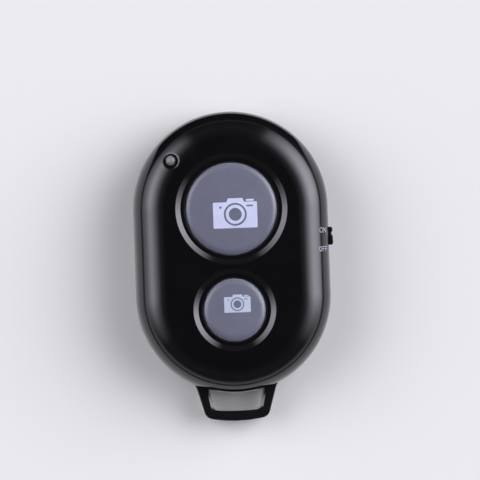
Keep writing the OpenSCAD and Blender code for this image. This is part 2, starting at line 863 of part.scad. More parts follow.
module radio_chip() { color(chip_black) on_board(radio_place_share) legged_chip(radio_size); }
module memory_chip() { color(chip_black) on_board(memory_place_share) legged_chip(memory_size); }

module crystal() {
    lid = [crystal_size[0] - 2 * crystal_lid_inset, crystal_size[1] - 2 * crystal_lid_inset, crystal_lid_t];
    color(steel) on_board(crystal_place_share) {
        chip_block(crystal_size);
        chip_block([lid[0], lid[1], crystal_size[2] + lid[2]]);
    }
}

// Small two-ended part whose metal ends stand a little proud of its middle
module passive() {
    rise = passive_end / 4;
    chip_block([passive_size[0], passive_size[1], passive_size[2]]);
    for (side = [-1, 1]) translate([side * (passive_size[0] - passive_end) / 2, 0, 0])
        chip_block([passive_end, passive_size[1] + 2 * rise, passive_size[2] + rise]);
}

module capacitors() { color(ceramic_tan) for (place = capacitor_places_share) on_board(place) passive(); }
module resistors() { color(chip_black) for (place = resistor_places_share) on_board(place) passive(); }

module antenna_trace() {
    color(copper) translate([antenna_x, antenna_y, board_top_z]) for (i = [0 : antenna_runs - 1]) {
        translate([i * antenna_pitch, 0, 0]) cube([antenna_line, antenna_h, copper_t]);
        if (i < antenna_runs - 1)
            translate([i * antenna_pitch, i % 2 == 0 ? antenna_h - antenna_line : 0, 0])
                cube([antenna_pitch + antenna_line, antenna_line, copper_t]);
    }
}

// Coin cell: the can faces the door and the cap faces the board

module battery_can() {
    color(steel) translate([0, cell_y, cell_z]) difference() {
        cylinder(h = can_h, r = cell_r);
        translate([0, 0, can_t]) cylinder(h = can_h - 2 * can_t, r = cell_r - can_t);
        translate([0, 0, can_t]) cylinder(h = can_h, r = cap_r + gasket_w);
    }
}

module battery_cap() {
    color(steel) translate([0, cell_y, cell_z + cell_h - cap_skirt_h]) difference() {
        cylinder(h = cap_skirt_h, r = cap_r);
        translate([0, 0, -over]) cylinder(h = cap_skirt_h - can_t + over, r = cap_r - can_t);
    }
}

module battery_gasket() {
    low_z = cell_z + cell_h - cap_skirt_h;
    color(gasket_green) translate([0, cell_y, 0]) difference() {
        union() {
            translate([0, 0, low_z]) cylinder(h = cell_z + can_h - can_t - low_z, r = cell_r - can_t);
            translate([0, 0, low_z]) cylinder(h = cell_z + can_h - low_z, r = cap_r + gasket_w);
        }
        translate([0, 0, low_z - over]) cylinder(h = cell_h, r = cap_r);
    }
}

module battery_core() {
    low_z = cell_z + cell_h - cap_skirt_h;
    color(chip_black) translate([0, cell_y, 0]) {
        translate([0, 0, cell_z + can_t]) cylinder(h = low_z - cell_z - can_t, r = cell_r - can_t);
        translate([0, 0, cell_z + can_t]) cylinder(h = cell_h - 2 * can_t, r = cap_r - can_t);
    }
}

// Flat springs, drawn as the path of their middle line seen from the side

function unit(v) = v / norm(v);

function strip_side(path, shift) = [
    for (i = [0 : len(path) - 1])
        let (
            before = unit(i > 0 ? path[i] - path[i - 1] : path[1] - path[0]),
            after = i < len(path) - 1 ? unit(path[i + 1] - path[i]) : before,
            along = unit(before + after)
        )
        path[i] + shift / (along * before) * [-along[1], along[0]]
];

module flat_spring(path, width) {
    one_side = strip_side(path, spring_t / 2);
    other_side = strip_side(path, -spring_t / 2);
    back = [for (i = [len(path) - 1 : -1 : 0]) other_side[i]];
    translate([-width / 2, 0, 0]) rotate([90, 0, 90]) linear_extrude(width) polygon(concat(one_side, back));
}

// Stands beside the cell, from the board down, and presses on the side of the can
module positive_contact() {
    edge_y = cell_y + cell_r;
    leg_y = edge_y + contact_leg_y;
    pad_z = board_z - spring_t / 2;
    touch_y = edge_y + spring_touch_gap + spring_t / 2;
    color(steel) flat_spring([
        [leg_y + contact_pad_l, pad_z],
        [leg_y, pad_z],
        [leg_y, board_z - contact_bend_z],
        [touch_y, cell_z + cell_h / 2],
        [leg_y, cell_z + contact_foot_z]
    ], contact_w);
}

// Springs down from the board onto the middle of the cap
module negative_contact() {
    pad_z = board_z - spring_t / 2;
    touch_z = cell_z + cell_h + spring_touch_gap + spring_t / 2;
    color(steel) flat_spring([
        [cell_y + negative_pad_y, pad_z],
        [cell_y + negative_pad_y + contact_pad_l, pad_z],
        [cell_y, touch_z],
        [cell_y + negative_tip_y, touch_z + negative_tip_rise]
    ], negative_w);
}

// Two self-tapping screws, driven from the battery bay
module case_screws() {
    color(steel) at_screws() difference() {
        union() {
            translate([0, 0, screw_head_z]) cylinder(h = screw_head_h, r = screw_head_r);
            translate([0, 0, screw_head_z]) cylinder(h = screw_head_h + screw_l - screw_tip, r = screw_r);
            translate([0, 0, screw_seat_z + screw_l - screw_tip])
                cylinder(h = screw_tip, r1 = screw_r, r2 = screw_r / 3);
        }
        for (turn = [0, 90]) rotate([0, 0, turn])
            translate([-screw_slot_l / 2, -screw_slot_w / 2, screw_head_z - over])
                cube([screw_slot_l, screw_slot_w, screw_slot_d + over]);
    }
}

upper_case();
lower_case();
battery_door();
large_button();
small_button();
circuit_board();
antenna_trace();
radio_chip();
memory_chip();
crystal();
capacitors();
resistors();
large_switch_base();
large_switch_cover();
large_switch_dome();
large_switch_plunger();
large_switch_leads();
small_switch_base();
small_switch_cover();
small_switch_dome();
small_switch_plunger();
small_switch_leads();
slide_switch_base();
slide_switch_shell();
slide_switch_actuator();
switch_knob();
status_led();
led_leads();
battery_can();
battery_cap();
battery_gasket();
battery_core();
positive_contact();
negative_contact();
case_screws();
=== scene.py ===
import json
import math

import bmesh
import bpy
import numpy as np
from mathutils import Matrix, Vector
from mathutils.geometry import tessellate_polygon


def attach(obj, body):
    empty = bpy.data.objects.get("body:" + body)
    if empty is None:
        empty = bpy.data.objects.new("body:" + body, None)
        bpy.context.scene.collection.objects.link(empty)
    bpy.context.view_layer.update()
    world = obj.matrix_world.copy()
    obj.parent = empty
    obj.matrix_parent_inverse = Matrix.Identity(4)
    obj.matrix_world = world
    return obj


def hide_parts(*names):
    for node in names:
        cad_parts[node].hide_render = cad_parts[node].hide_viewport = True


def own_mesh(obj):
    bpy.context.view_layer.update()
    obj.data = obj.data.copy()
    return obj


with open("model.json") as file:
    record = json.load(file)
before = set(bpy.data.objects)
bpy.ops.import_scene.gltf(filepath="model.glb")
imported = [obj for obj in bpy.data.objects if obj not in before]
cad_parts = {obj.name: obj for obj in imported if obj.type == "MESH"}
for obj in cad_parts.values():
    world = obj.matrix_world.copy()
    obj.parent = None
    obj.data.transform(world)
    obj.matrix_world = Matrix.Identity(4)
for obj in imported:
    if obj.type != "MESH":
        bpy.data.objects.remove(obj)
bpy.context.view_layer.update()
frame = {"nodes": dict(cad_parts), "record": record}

# Shapes are drawn in millimetres, in the frame of the CAD model, and turned to metres once they are done
MM = 0.001
nodes = frame["nodes"]

# How far a cutter reaches past a face, and the heights in the back and in the face that posts start from
over = 0.4
bed_z = 0.9
root_z = 9.1

# Case: two half rounds with straight sides between them
case_r = 16.0
cap_y = 7.15
case_h = 10.0
wall = 1.2
shoulder_r = 5.2
back_r = 2.6
split_z = 4.6
case_end_y = -cap_y - case_r
inner_r = case_r - wall
inner_face_z = case_h - wall
shoulder_x = case_r - shoulder_r
shoulder_z = case_h - shoulder_r

# Seam between the shells, and the lower shell's lip inside it
seam_round = 0.12
seam_gap = 0.2
lip_t = 0.5
lip_h = 0.7
lip_gap = 0.1

# Board, and the posts and rests that hold it
board_z = 5.3
board_top_z = 6.3
post_r = 1.1
post_y = 18.8
pin_r = 0.6
pin_low_z = 5.4
rest_r = 0.9
rest_ring_r = 11.92
rest_angle = math.radians(27.2)
rest_x = rest_ring_r * math.cos(rest_angle)
rest_y = cap_y + rest_ring_r * math.sin(rest_angle)

# Buttons, as their radius and their place along the case, and the dished wells round them
large_r, large_y = 7.5, cap_y
small_r, small_y = 5.1, cap_y - 16.6
wells = ((large_r, large_y), (small_r, small_y))
button_top_z = 10.18
button_low_z = 7.95
button_gap = 0.2
crown_r = 80.0
flange_top_z = 8.7
flange_w = 0.85
key_w = 1.6
key_reach = 0.7
dish_depth = 0.48
dish_floor_w = 0.85
dish_slope_w = 0.83
guide_gap = 0.25
guide_t = 0.6
guide_h = 1.5

# Indicator in the shoulder
led_ring_r = 12.6
led_angle = math.radians(139.6)
led_x = led_ring_r * math.cos(led_angle)
led_y = cap_y + led_ring_r * math.sin(led_angle)
led_r = 0.9
led_hole_r = 1.15

# Power switch
knob_l = 3.0
knob_h = 1.4
knob_y = 2.15
knob_tip_x = 16.7
window_y = 1.4
window_l = 4.8
window_h = 1.7
window_corner_r = 0.25
switch_room_low = (11.05, -2.1, 3.6)
switch_room_high = (14.25, 4.9, 6.2)

# Coin cell
cell_r = 10.0
cell_y = -4.0
cell_low_z = 1.5
can_h = 2.85
can_t = 0.25
cell_room_r = 10.3
well_r = 11.1
well_top_z = 4.95
contact_room_low = (-2.3, 5.7, 2.1)
contact_room_high = (2.3, 7.4, 7.0)

# Battery door, a rounded plate with one straight edge that two hooks stand out of
door_r = 12.4
door_t = 1.2
door_gap = 0.15
door_low_y = -cap_y
door_high_y = -3.0
door_flat_w = 9.0
door_edge_y = door_high_y + math.sqrt(door_r ** 2 - (door_flat_w / 2) ** 2)
door_end_y = door_low_y - door_r
deck_z = 1.3
deck_t = 0.8
deck_lap = 0.9
hook_x = 3.2
hook_w = 2.2
hook_t = 0.6
hook_reach = 1.0
hook_lift = 0.15
hook_gap = 0.15
hook_top_z = door_t + hook_lift + hook_t

# Case screws and the bosses that they hold together
screw_r = 0.8
screw_head_r = 1.45
screw_head_h = 0.9
screw_seat_z = deck_z + screw_head_h
screw_ring_r = 10.37
screw_angle = math.radians(42.85)
screw_x = screw_ring_r * math.cos(screw_angle)
screw_y = door_low_y - screw_ring_r * math.sin(screw_angle)
screw_places = ((-screw_x, screw_y), (screw_x, screw_y))
boss_r = 1.8
upper_bore_r = 0.85
lower_bore_r = 0.95
bore_top_z = 7.7

# Lanyard loop
loop_root_w = 14.3
loop_tip_w = 10.2
loop_reach = 4.6
loop_low_z = 1.1
loop_t = 2.8
loop_bed = 3.0
loop_corner_r = 1.6
loop_crown = 0.35
loop_flare_r = 2.6

# Snap domes of the two tactile switches
dome_low_z = 6.58
dome_h = 0.36
dome_r = 1.8
dome_t = 0.08

arc_steps = 96
round_steps = 28


# Mesh helpers


def mesh_object(name, verts, faces):
    mesh = bpy.data.meshes.new(name)
    mesh.from_pydata(verts, [], faces)
    obj = bpy.data.objects.new(name, mesh)
    bpy.context.scene.collection.objects.link(obj)
    bm = bmesh.new()
    bm.from_mesh(mesh)
    bmesh.ops.recalc_face_normals(bm, faces=bm.faces)
    bm.to_mesh(mesh)
    bm.free()
    return obj


def loft(name, rings, closed=False):
    """A solid through rings of the same number of points. Its ends are capped, or joined when closed."""
    n = len(rings[0])
    verts = [p for ring in rings for p in ring]
    faces = []
    pairs = len(rings) if closed else len(rings) - 1
    for i in range(pairs):
        a, b = i * n, (i + 1) % len(rings) * n
        for j in range(n):
            k = (j + 1) % n
            faces.append((a + j, a + k, b + k, b + j))
    if not closed:
        faces.append(tuple(reversed(range(n))))
        faces.append(tuple(range(len(verts) - n, len(verts))))
    return mesh_object(name, verts, faces)


def arc(at, r, start, stop, steps):
    """Points round a centre, from one direction to another, in degrees."""
    angles = [math.radians(start + (stop - start) * i / steps) for i in range(steps + 1)]
    return [(at[0] + r * math.cos(a), at[1] + r * math.sin(a)) for a in angles]


def circle(at, r, steps):
    return arc(at, r, 0, 360, steps)[:-1]


def lifted(outline, z):
    """The points of a flat outline at a height."""
    return [(x, y, z) for x, y in outline]


def oblong(name, path):
    """A solid with two half-round ends, from a path of radius and height."""
    rings = []
    for r, z in path:
        outline = arc((0, cap_y), r, 0, 180, arc_steps) + arc((0, -cap_y), r, 180, 360, arc_steps)
        rings.append(lifted(outline, z))
    return loft(name, rings)


def turned(name, path, at=(0, 0), closed=False, steps=128):
    """A solid turned about an upright axis, from a path of radius and height."""
    return loft(name, [lifted(circle(at, r, steps), z) for r, z in path], closed)


def box(name, low, high):
    corners = [(low[0], low[1]), (high[0], low[1]), (high[0], high[1]), (low[0], high[1])]
    return loft(name, [lifted(corners, z) for z in (low[2], high[2])])


def pill(name, at, length, r):
    """A bar with two ball ends that lies along the case."""
    half = length / 2 - r
    path = arc((-half, 0), r, 180, 90, 8)[1:] + arc((half, 0), r, 90, 0, 8)[:-1]
    rings = []
    for along, across in path:
        rings.append([(at[0] + x, at[1] + along, at[2] + z) for x, z in circle((0, 0), across, 24)])
    return loft(name, rings)


def grown(outline, by):
    """The outline moved outward by a small distance at every point."""
    result = []
    n = len(outline)
    for i in range(n):
        before, here, after = Vector(outline[i - 1]), Vector(outline[i]), Vector(outline[(i + 1) % n])
        a, b = (here - before).normalized(), (after - here).normalized()
        na, nb = Vector((a.y, -a.x)), Vector((b.y, -b.x))
        middle = (na + nb).normalized()
        result.append(tuple(here + middle * by / max(middle.dot(na), 0.3)))
    return result


def edge_path(z, size, up):
    """Quarter round of a slab's edge, from its face at z, as growth and height. Up is 1 or -1."""
    if not size:
        return [(0, z)]
    angles = [math.pi / 2 * i / 6 for i in range(7)]
    return [(-size * (1 - math.sin(a)), z + up * size * (1 - math.cos(a))) for a in angles]


def rounded_slab(name, outline, low, high, low_round, high_round, place=None):
    """A slab with rounded edges from an outline that runs anticlockwise."""
    path = edge_path(low, low_round, 1) + edge_path(high, high_round, -1)[::-1]
    rings = [lifted(grown(outline, by), z) for by, z in path]
    if place:
        rings = [[place(*p) for p in ring] for ring in rings]
    return loft(name, rings)


def sideways(y, z, x):
    """Turns a slab that is drawn flat to stand in the case's side."""
    return (x, y, z)


def rounded_rectangle(w, h, r, at=(0, 0), steps=6):
    points = []
    for sx, sy, start in ((1, 1, 0), (-1, 1, 90), (-1, -1, 180), (1, -1, 270)):
        corner = (at[0] + sx * (w / 2 - r), at[1] + sy * (h / 2 - r))
        points += arc(corner, r, start, start + 90, steps)
    return points


def clean(mesh):
    """Takes out points that coincide and slivers without area."""
    near = 0.0002
    bm = bmesh.new()
    bm.from_mesh(mesh)
    bmesh.ops.remove_doubles(bm, verts=bm.verts, dist=near)
    bmesh.ops.dissolve_degenerate(bm, dist=near, edges=bm.edges)
    bm.to_mesh(mesh)
    bm.free()


def baked(obj):
    """The object's mesh with its modifiers in it."""
    bpy.context.view_layer.update()
    graph = bpy.context.evaluated_depsgraph_get()
    return bpy.data.meshes.new_from_object(obj.evaluated_get(graph))


def combine(base, other, how):
    """Cuts other from base, joins it or keeps what both share, and takes other away."""
    modifier = base.modifiers.new("combine", "BOOLEAN")
    modifier.operation = how
    modifier.object = other
    modifier.solver = "EXACT"
    mesh = baked(base)
    clean(mesh)
    base.modifiers.clear()
    base.data = mesh
    bpy.data.objects.remove(other)


def cut(base, other):
    combine(base, other, "DIFFERENCE")


def join(base, other):
    combine(base, other, "UNION")


def merge(base, other):
    """Puts another object's mesh into base as separate solids."""
    bm = bmesh.new()
    bm.from_mesh(base.data)
    bm.from_mesh(other.data)
    bm.to_mesh(base.data)
    bm.free()
    bpy.data.objects.remove(other)


def shoulder_normal(p):
    """Direction straight out of the case's rounded shoulder, or None off it."""
    edge_slack, round_slack = 0.01, 0.004
    near_y = min(max(p[1], -cap_y), cap_y)
    out = Vector((p[0], p[1] - near_y))
    r = out.length
    if r < shoulder_x - edge_slack or p[2] < shoulder_z - edge_slack:
        return None
    off = Vector((r - shoulder_x, p[2] - shoulder_z))
    if abs(off.length - shoulder_r) > round_slack:
        return None
    out.normalize()
    off.normalize()
    return Vector((out.x * off.x, out.y * off.x, off.y))


def smooth(obj, on_surface=None):
    """Smooth shading with sharp edges, flat faces kept flat, and exact directions on a known surface."""
    sharp_angle = math.radians(32)
    same_way = 0.94
    obj.data.shade_smooth()
    obj.data.set_sharp_from_angle(angle=sharp_angle)
    weighted = obj.modifiers.new("weighted", "WEIGHTED_NORMAL")
    weighted.keep_sharp = True
    mesh = baked(obj)
    obj.modifiers.clear()
    obj.data = mesh
    if on_surface is None:
        return
    normals = np.zeros((len(mesh.loops), 3), np.float32)
    mesh.corner_normals.foreach_get("vector", normals.ravel())
    exact = [on_surface(v.co) for v in mesh.vertices]
    for face in mesh.polygons:
        ours = [exact[v] for v in face.vertices]
        if any(n is None for n in ours) or min(n.dot(face.normal) for n in ours) < same_way:
            continue
        for i, n in zip(face.loop_indices, ours):
            normals[i] = n
    mesh.normals_split_custom_set(normals.tolist())


def piece(obj, name, body, material, replaced=(), on_surface=None):
    """Names a finished shape, shades it, turns it to metres and sets what it rides on and stands for."""
    smooth(obj, on_surface)
    obj.name = name
    obj.data.name = name
    obj.data.transform(Matrix.Scale(MM, 4))
    obj.data.materials.clear()
    obj.data.materials.append(material)
    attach(obj, body)
    if replaced:
        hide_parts(*replaced)


# Materials


class Nodes:
    """Short calls for a material's nodes."""

    def __init__(self, tree):
        self.tree = tree
        tree.nodes.clear()

    def add(self, kind, **inputs):
        node = self.tree.nodes.new(kind)
        for key, value in inputs.items():
            self.set(node, key, value)
        return node

    def set(self, node, key, value):
        """Links or sets an input, which is given by its name, or by its number after an i."""
        socket = node.inputs[int(key[1:])] if key[0] == "i" and key[1:].isdigit() else node.inputs[key]
        if isinstance(value, bpy.types.NodeSocket):
            self.tree.links.new(value, socket)
        else:
            socket.default_value = value

    def place(self):
        """Place on the object, in millimetres."""
        coord = self.add("ShaderNodeTexCoord")
        mapping = self.add("ShaderNodeMapping", Vector=coord.outputs["Object"])
        mapping.inputs["Scale"].default_value = (1 / MM, 1 / MM, 1 / MM)
        return mapping.outputs["Vector"]

    def stretched(self, vector, scale, turn):
        mapping = self.add("ShaderNodeMapping", Vector=vector)
        mapping.inputs["Scale"].default_value = scale
        mapping.inputs["Rotation"].default_value = turn
        return mapping.outputs["Vector"]

    def noise(self, vector, scale, detail=3, roughness=0.5):
        node = self.add("ShaderNodeTexNoise", Vector=vector, Scale=scale, Detail=detail, Roughness=roughness)
        return node.outputs["Fac"]

    def ramp(self, value, low, high, to_low=0, to_high=1):
        node = self.add("ShaderNodeMapRange", Value=value)
        for i, v in enumerate((low, high, to_low, to_high), 1):
            node.inputs[i].default_value = v
        return node.outputs["Result"]

    def math(self, how, a, b=None):
        node = self.tree.nodes.new("ShaderNodeMath")
        node.operation = how
        self.set(node, "i0", a)
        if b is not None:
            self.set(node, "i1", b)
        return node.outputs[0]

    def mix(self, share, a, b):
        node = self.tree.nodes.new("ShaderNodeMix")
        node.data_type = "RGBA"
        self.set(node, "i0", share)
        self.set(node, "i6", a)
        self.set(node, "i7", b)
        return node.outputs[2]

    def bump(self, height, depth_mm):
        node = self.add("ShaderNodeBump", Height=height, Strength=1.0, Distance=depth_mm * MM)
        return node.outputs["Normal"]


def new_material(name):
    material = bpy.data.materials.new(name)
    material.use_nodes = True
    n = Nodes(material.node_tree)
    shader = n.add("ShaderNodeBsdfPrincipled")
    n.add("ShaderNodeOutputMaterial", Surface=shader.outputs["BSDF"])
    return material, n, shader


def rgb(r, g, b):
    return (r, g, b, 1)


def shade(name, colour, other, rough, grain, depth, ior=1.5, metal=0.0, patch=0.25, scratch=0.0,
          tint=(1, 1, 1), more=()):
    """A surface with patches of two colours, uneven gloss, fine grain and, where asked, fine scratches."""
    material, n, shader = new_material(name)
    at = n.place()
    patches = n.noise(at, patch, 4, 0.6)
    n.set(shader, "Base Color", n.mix(n.ramp(patches, 0.35, 0.65), colour, other))
    uneven = n.noise(at, patch * 2.3, 5, 0.62)
    gloss = n.ramp(uneven, 0.3, 0.7, rough[0], rough[1])
    normal = n.bump(n.noise(at, grain, 4, 0.6), depth)
    if scratch:
        # Two sets of fine lines that run different ways over the surface
        for turn in (0.4, 1.9):
            lines = n.noise(n.stretched(at, (0.25, 9, 0.25), (0, 0, turn)), 1.0, 2, 0.5)
            marks = n.ramp(lines, 0.68, 0.74)
            gloss = n.math("ADD", gloss, n.math("MULTIPLY", marks, scratch))
    n.set(shader, "Roughness", gloss)
    n.set(shader, "Normal", normal)
    shader.inputs["IOR"].default_value = ior
    shader.inputs["Metallic"].default_value = metal
    shader.inputs["Specular Tint"].default_value = (*tint, 1)
    for key, value in more:
        shader.inputs[key].default_value = value
    return material


case_tint = (0.95, 0.94, 1.0)
gloss_black = shade("gloss_black", rgb(0.0024, 0.0024, 0.0029), rgb(0.0031, 0.0030, 0.0036),
                    (0.10, 0.16), 0.55, 0.0012, ior=1.56, scratch=0.05, tint=case_tint)
back_black = shade("back_black", rgb(0.0045, 0.0045, 0.0052), rgb(0.0060, 0.0060, 0.0068),
                   (0.14, 0.22), 0.9, 0.0018, ior=1.56, scratch=0.08, tint=case_tint)
door_black = shade("door_black", rgb(0.0060, 0.0060, 0.0068), rgb(0.0080, 0.0080, 0.0090),
                   (0.38, 0.50), 6.0, 0.006, scratch=0.05)
knob_black = shade("knob_black", rgb(0.0030, 0.0030, 0.0035), rgb(0.0044, 0.0044, 0.0050),
                   (0.18, 0.27), 7.0, 0.003)
button_film = (("Coat Weight", 0.4), ("Coat Roughness", 0.2),
               ("Sheen Weight", 0.7), ("Sheen Roughness", 0.45))
button_grey = shade("button_grey", rgb(0.119, 0.126, 0.176), rgb(0.132, 0.138, 0.194),
                    (0.38, 0.46), 7.0, 0.0022, patch=0.3, more=button_film)
print_white = shade("print_white", rgb(0.54, 0.57, 0.78), rgb(0.60, 0.63, 0.84), (0.38, 0.50), 9.0, 0.002)
print_thin = shade("print_thin", rgb(0.455, 0.50, 0.64), rgb(0.51, 0.555, 0.695), (0.38, 0.50), 9.0, 0.002)
mark_white = shade("mark_white", rgb(0.26, 0.25, 0.33), rgb(0.34, 0.33, 0.41), (0.40, 0.52), 9.0, 0.002)


def clear_material():
    material, n, shader = new_material("clear_epoxy")
    at = n.place()
    n.set(shader, "Base Color", n.mix(n.noise(at, 1.5), rgb(0.30, 0.30, 0.32), rgb(0.40, 0.40, 0.42)))
    n.set(shader, "Roughness", n.ramp(n.noise(at, 2.0), 0.3, 0.7, 0.06, 0.14))
    n.set(shader, "Normal", n.bump(n.noise(at, 1.2, 2), 0.01))
    shader.inputs["Transmission Weight"].default_value = 0.45
    shader.inputs["IOR"].default_value = 1.52
    return material


clear_epoxy = clear_material()
inner_materials = {}


def inner(name, colour, other, rough, grain, depth, **more):
    """A material of the inner parts, under the name of its slot."""
    inner_materials[name] = shade(name, rgb(*colour), rgb(*other), rough, grain, depth, **more)


inner("board_laminate", (0.010, 0.085, 0.035), (0.016, 0.120, 0.050), (0.28, 0.40), 2.5, 0.006, patch=0.8)
inner("copper_foil", (0.72, 0.42, 0.16), (0.80, 0.52, 0.22), (0.25, 0.40), 8.0, 0.004, metal=1.0)
inner("chip_resin", (0.012, 0.012, 0.013), (0.020, 0.020, 0.021), (0.50, 0.62), 12.0, 0.008)
inner("crystal_can", (0.58, 0.57, 0.53), (0.68, 0.67, 0.63), (0.22, 0.34), 9.0, 0.003, metal=1.0)
inner("capacitor_ceramic", (0.36, 0.24, 0.13), (0.44, 0.31, 0.19), (0.40, 0.52), 9.0, 0.006)
inner("resistor_ceramic", (0.014, 0.014, 0.016), (0.030, 0.030, 0.034), (0.34, 0.46), 9.0, 0.005)
inner("switch_resin", (0.014, 0.014, 0.014), (0.022, 0.022, 0.022), (0.44, 0.56), 8.0, 0.006)
inner("switch_steel", (0.60, 0.59, 0.56), (0.72, 0.71, 0.68), (0.20, 0.34), 7.0, 0.003,
      metal=1.0, scratch=0.1)
inner("plunger_resin", (0.020, 0.018, 0.018), (0.032, 0.030, 0.029), (0.38, 0.50), 9.0, 0.005)
inner("lead_wire", (0.62, 0.62, 0.60), (0.74, 0.74, 0.72), (0.22, 0.36), 8.0, 0.003, metal=1.0)
inner("cell_steel", (0.60, 0.59, 0.57), (0.64, 0.63, 0.61), (0.21, 0.26), 5.0, 0.002,
      metal=1.0, patch=0.12, scratch=0.12)
inner("gasket_resin", (0.16, 0.26, 0.20), (0.20, 0.32, 0.25), (0.44, 0.56), 8.0, 0.004)
inner("cell_filling", (0.030, 0.030, 0.030), (0.050, 0.050, 0.050), (0.70, 0.85), 10.0, 0.02)
inner("spring_steel", (0.62, 0.60, 0.55), (0.74, 0.72, 0.66), (0.20, 0.32), 6.0, 0.003,
      metal=1.0, scratch=0.1)
inner("screw_steel", (0.36, 0.36, 0.37), (0.46, 0.46, 0.47), (0.24, 0.38), 7.0, 0.004, metal=1.0)

for subpart in frame["record"]["subparts"]:
    if subpart["material_slot"] in inner_materials:
        for entry in nodes[subpart["node"]].material_slots:
            entry.material = inner_materials[subpart["material_slot"]]


# Upper shell


def surface_z(x, y):
    """Height of the case's face or shoulder over a place."""
    near_y = min(max(y, -cap_y), cap_y)
    r = math.hypot(x, y - near_y)
    if r <= shoulder_x:
        return case_h
    return shoulder_z + math.sqrt(shoulder_r ** 2 - (r - shoulder_x) ** 2)


def dish_path(r):
    """The void of a dished well: the button's hole, a flat ring, a slope and a rounded rim."""
    hole_round, floor_round, rim_round = 0.05, 0.1, 0.13
    # The rim's round starts a little off level, so that the void leaves the face at an angle
    rim_start, rim_lift, rim_past = 90.4, 0.0012, 0.3
    hole_low = inner_face_z - 0.9
    hole = r + button_gap
    floor = r + dish_floor_w
    rim = floor + dish_slope_w
    low = case_h - dish_depth
    tilt = math.degrees(math.atan2(dish_depth, rim - floor))
    short = math.tan(math.radians(tilt / 2))
    path = [(hole, hole_low)]
    path += arc((hole + hole_round, low - hole_round), hole_round, 180, 90, 4)
    path += arc((floor - floor_round * short, low + floor_round), floor_round, -90, tilt - 90, 5)
    path += arc((rim + rim_round * short, case_h - rim_round), rim_round, 90 + tilt, rim_start, 8)
    path += [(rim + rim_past, case_h + rim_lift), (rim + rim_past, case_h + 1)]
    return path


def button_guide(r, y):
    """A ring that hangs from the face round a button's flange, open for the button's key."""
    near = r + flange_w + guide_gap
    far = near + guide_t
    low = inner_face_z - guide_h
    guide = turned("guide", [(near, low), (far, low), (far, root_z), (near, root_z)], (0, y), closed=True)
    half_room = key_w / 2 + guide_gap
    cut(guide, box("key_room", (0, y - half_room, low - over), (far + over, y + half_room, root_z + over)))
    return guide


def indicator_hole():
    """The void of the indicator's hole, whose rounded mouth follows the shoulder."""
    low_z = 6.9
    # Radius of each ring, and its height over the shoulder
    mouth = ((led_hole_r, -0.106), (1.2, -0.085), (1.44, 0.002), (1.6, 0.5))
    rings = [lifted(circle((led_x, led_y), led_hole_r, 64), low_z)]
    for r, lift in mouth:
        rings.append([(x, y, surface_z(x, y) + lift) for x, y in circle((led_x, led_y), r, 64)])
    return loft("indicator_hole", rings)


def window_cutter():
    """The opening for the knob, half in each shell."""
    outline = rounded_rectangle(window_l, window_h, window_corner_r, (window_y, split_z))
    return rounded_slab("window", outline, inner_r - over, case_r + over, 0, 0, place=sideways)


def make_upper_case():
    outer = arc((case_r - seam_round, split_z + seam_round), seam_round, -90, 0, 5)
    outer += arc((shoulder_x, shoulder_z), shoulder_r, 0, 90, round_steps)
    case = oblong("upper", outer)
    lip_room_r = inner_r + lip_t + lip_gap
    lip_room_z = split_z + lip_h + lip_gap
    hollow = [(lip_room_r, split_z - over), (lip_room_r, lip_room_z), (inner_r, lip_room_z)]
    hollow += arc((shoulder_x, shoulder_z), shoulder_r - wall, 0, 90, 14)
    cut(case, oblong("hollow", hollow))
    for r, y in wells:
        join(case, button_guide(r, y))
    for at in screw_places:
        join(case, turned("boss", [(boss_r, board_top_z), (boss_r, root_z)], at, steps=48))
        bore = [(upper_bore_r, board_top_z - over), (upper_bore_r, bore_top_z)]
        cut(case, turned("bore", bore, at, steps=32))
    # A post with a pin that keeps the board in its place
    post_at = (0, post_y)
    pin = [(pin_r - 0.1, pin_low_z), (pin_r, pin_low_z + 0.1), (pin_r, board_top_z + over)]
    join(case, turned("post", [(post_r, board_top_z), (post_r, root_z)], post_at, steps=40))
    join(case, turned("pin", pin, post_at, steps=32))
    for r, y in wells:
        cut(case, turned("dish", dish_path(r), (0, y), steps=192))
    cut(case, indicator_hole())
    cut(case, window_cutter())
    piece(case, "upper_case_shell", "remote_body", gloss_black, ["upper_case"],
          on_surface=shoulder_normal)


# Lower shell with its lanyard loop


def taper(root_w, root_y, tip_w, tip_y, r, crown):
    """Right half of an outline that narrows to a rounded end, from its root to the middle of its tip."""
    lean = math.degrees(math.atan2((root_w - tip_w) / 2, root_y - tip_y))
    tilt = math.radians(lean)
    across = tip_w / 2 + r * (math.tan(tilt) - 1 / math.cos(tilt))
    corner = arc((across, tip_y + r + crown), r, -lean, -84, 10)
    # Shallow arc across the tip
    tip = []
    x, y = corner[-1]
    for i in range(1, 9):
        t = 1 - i / 8
        tip.append((x * t, tip_y + (y - tip_y) * t * t))
    return [(root_w / 2, root_y)] + corner + tip


def whole(half):
    """Outline, anticlockwise, from its right half that starts at the root."""
    left = [(-x, y) for x, y in half if x > 1e-6]
    return left + list(reversed(half))


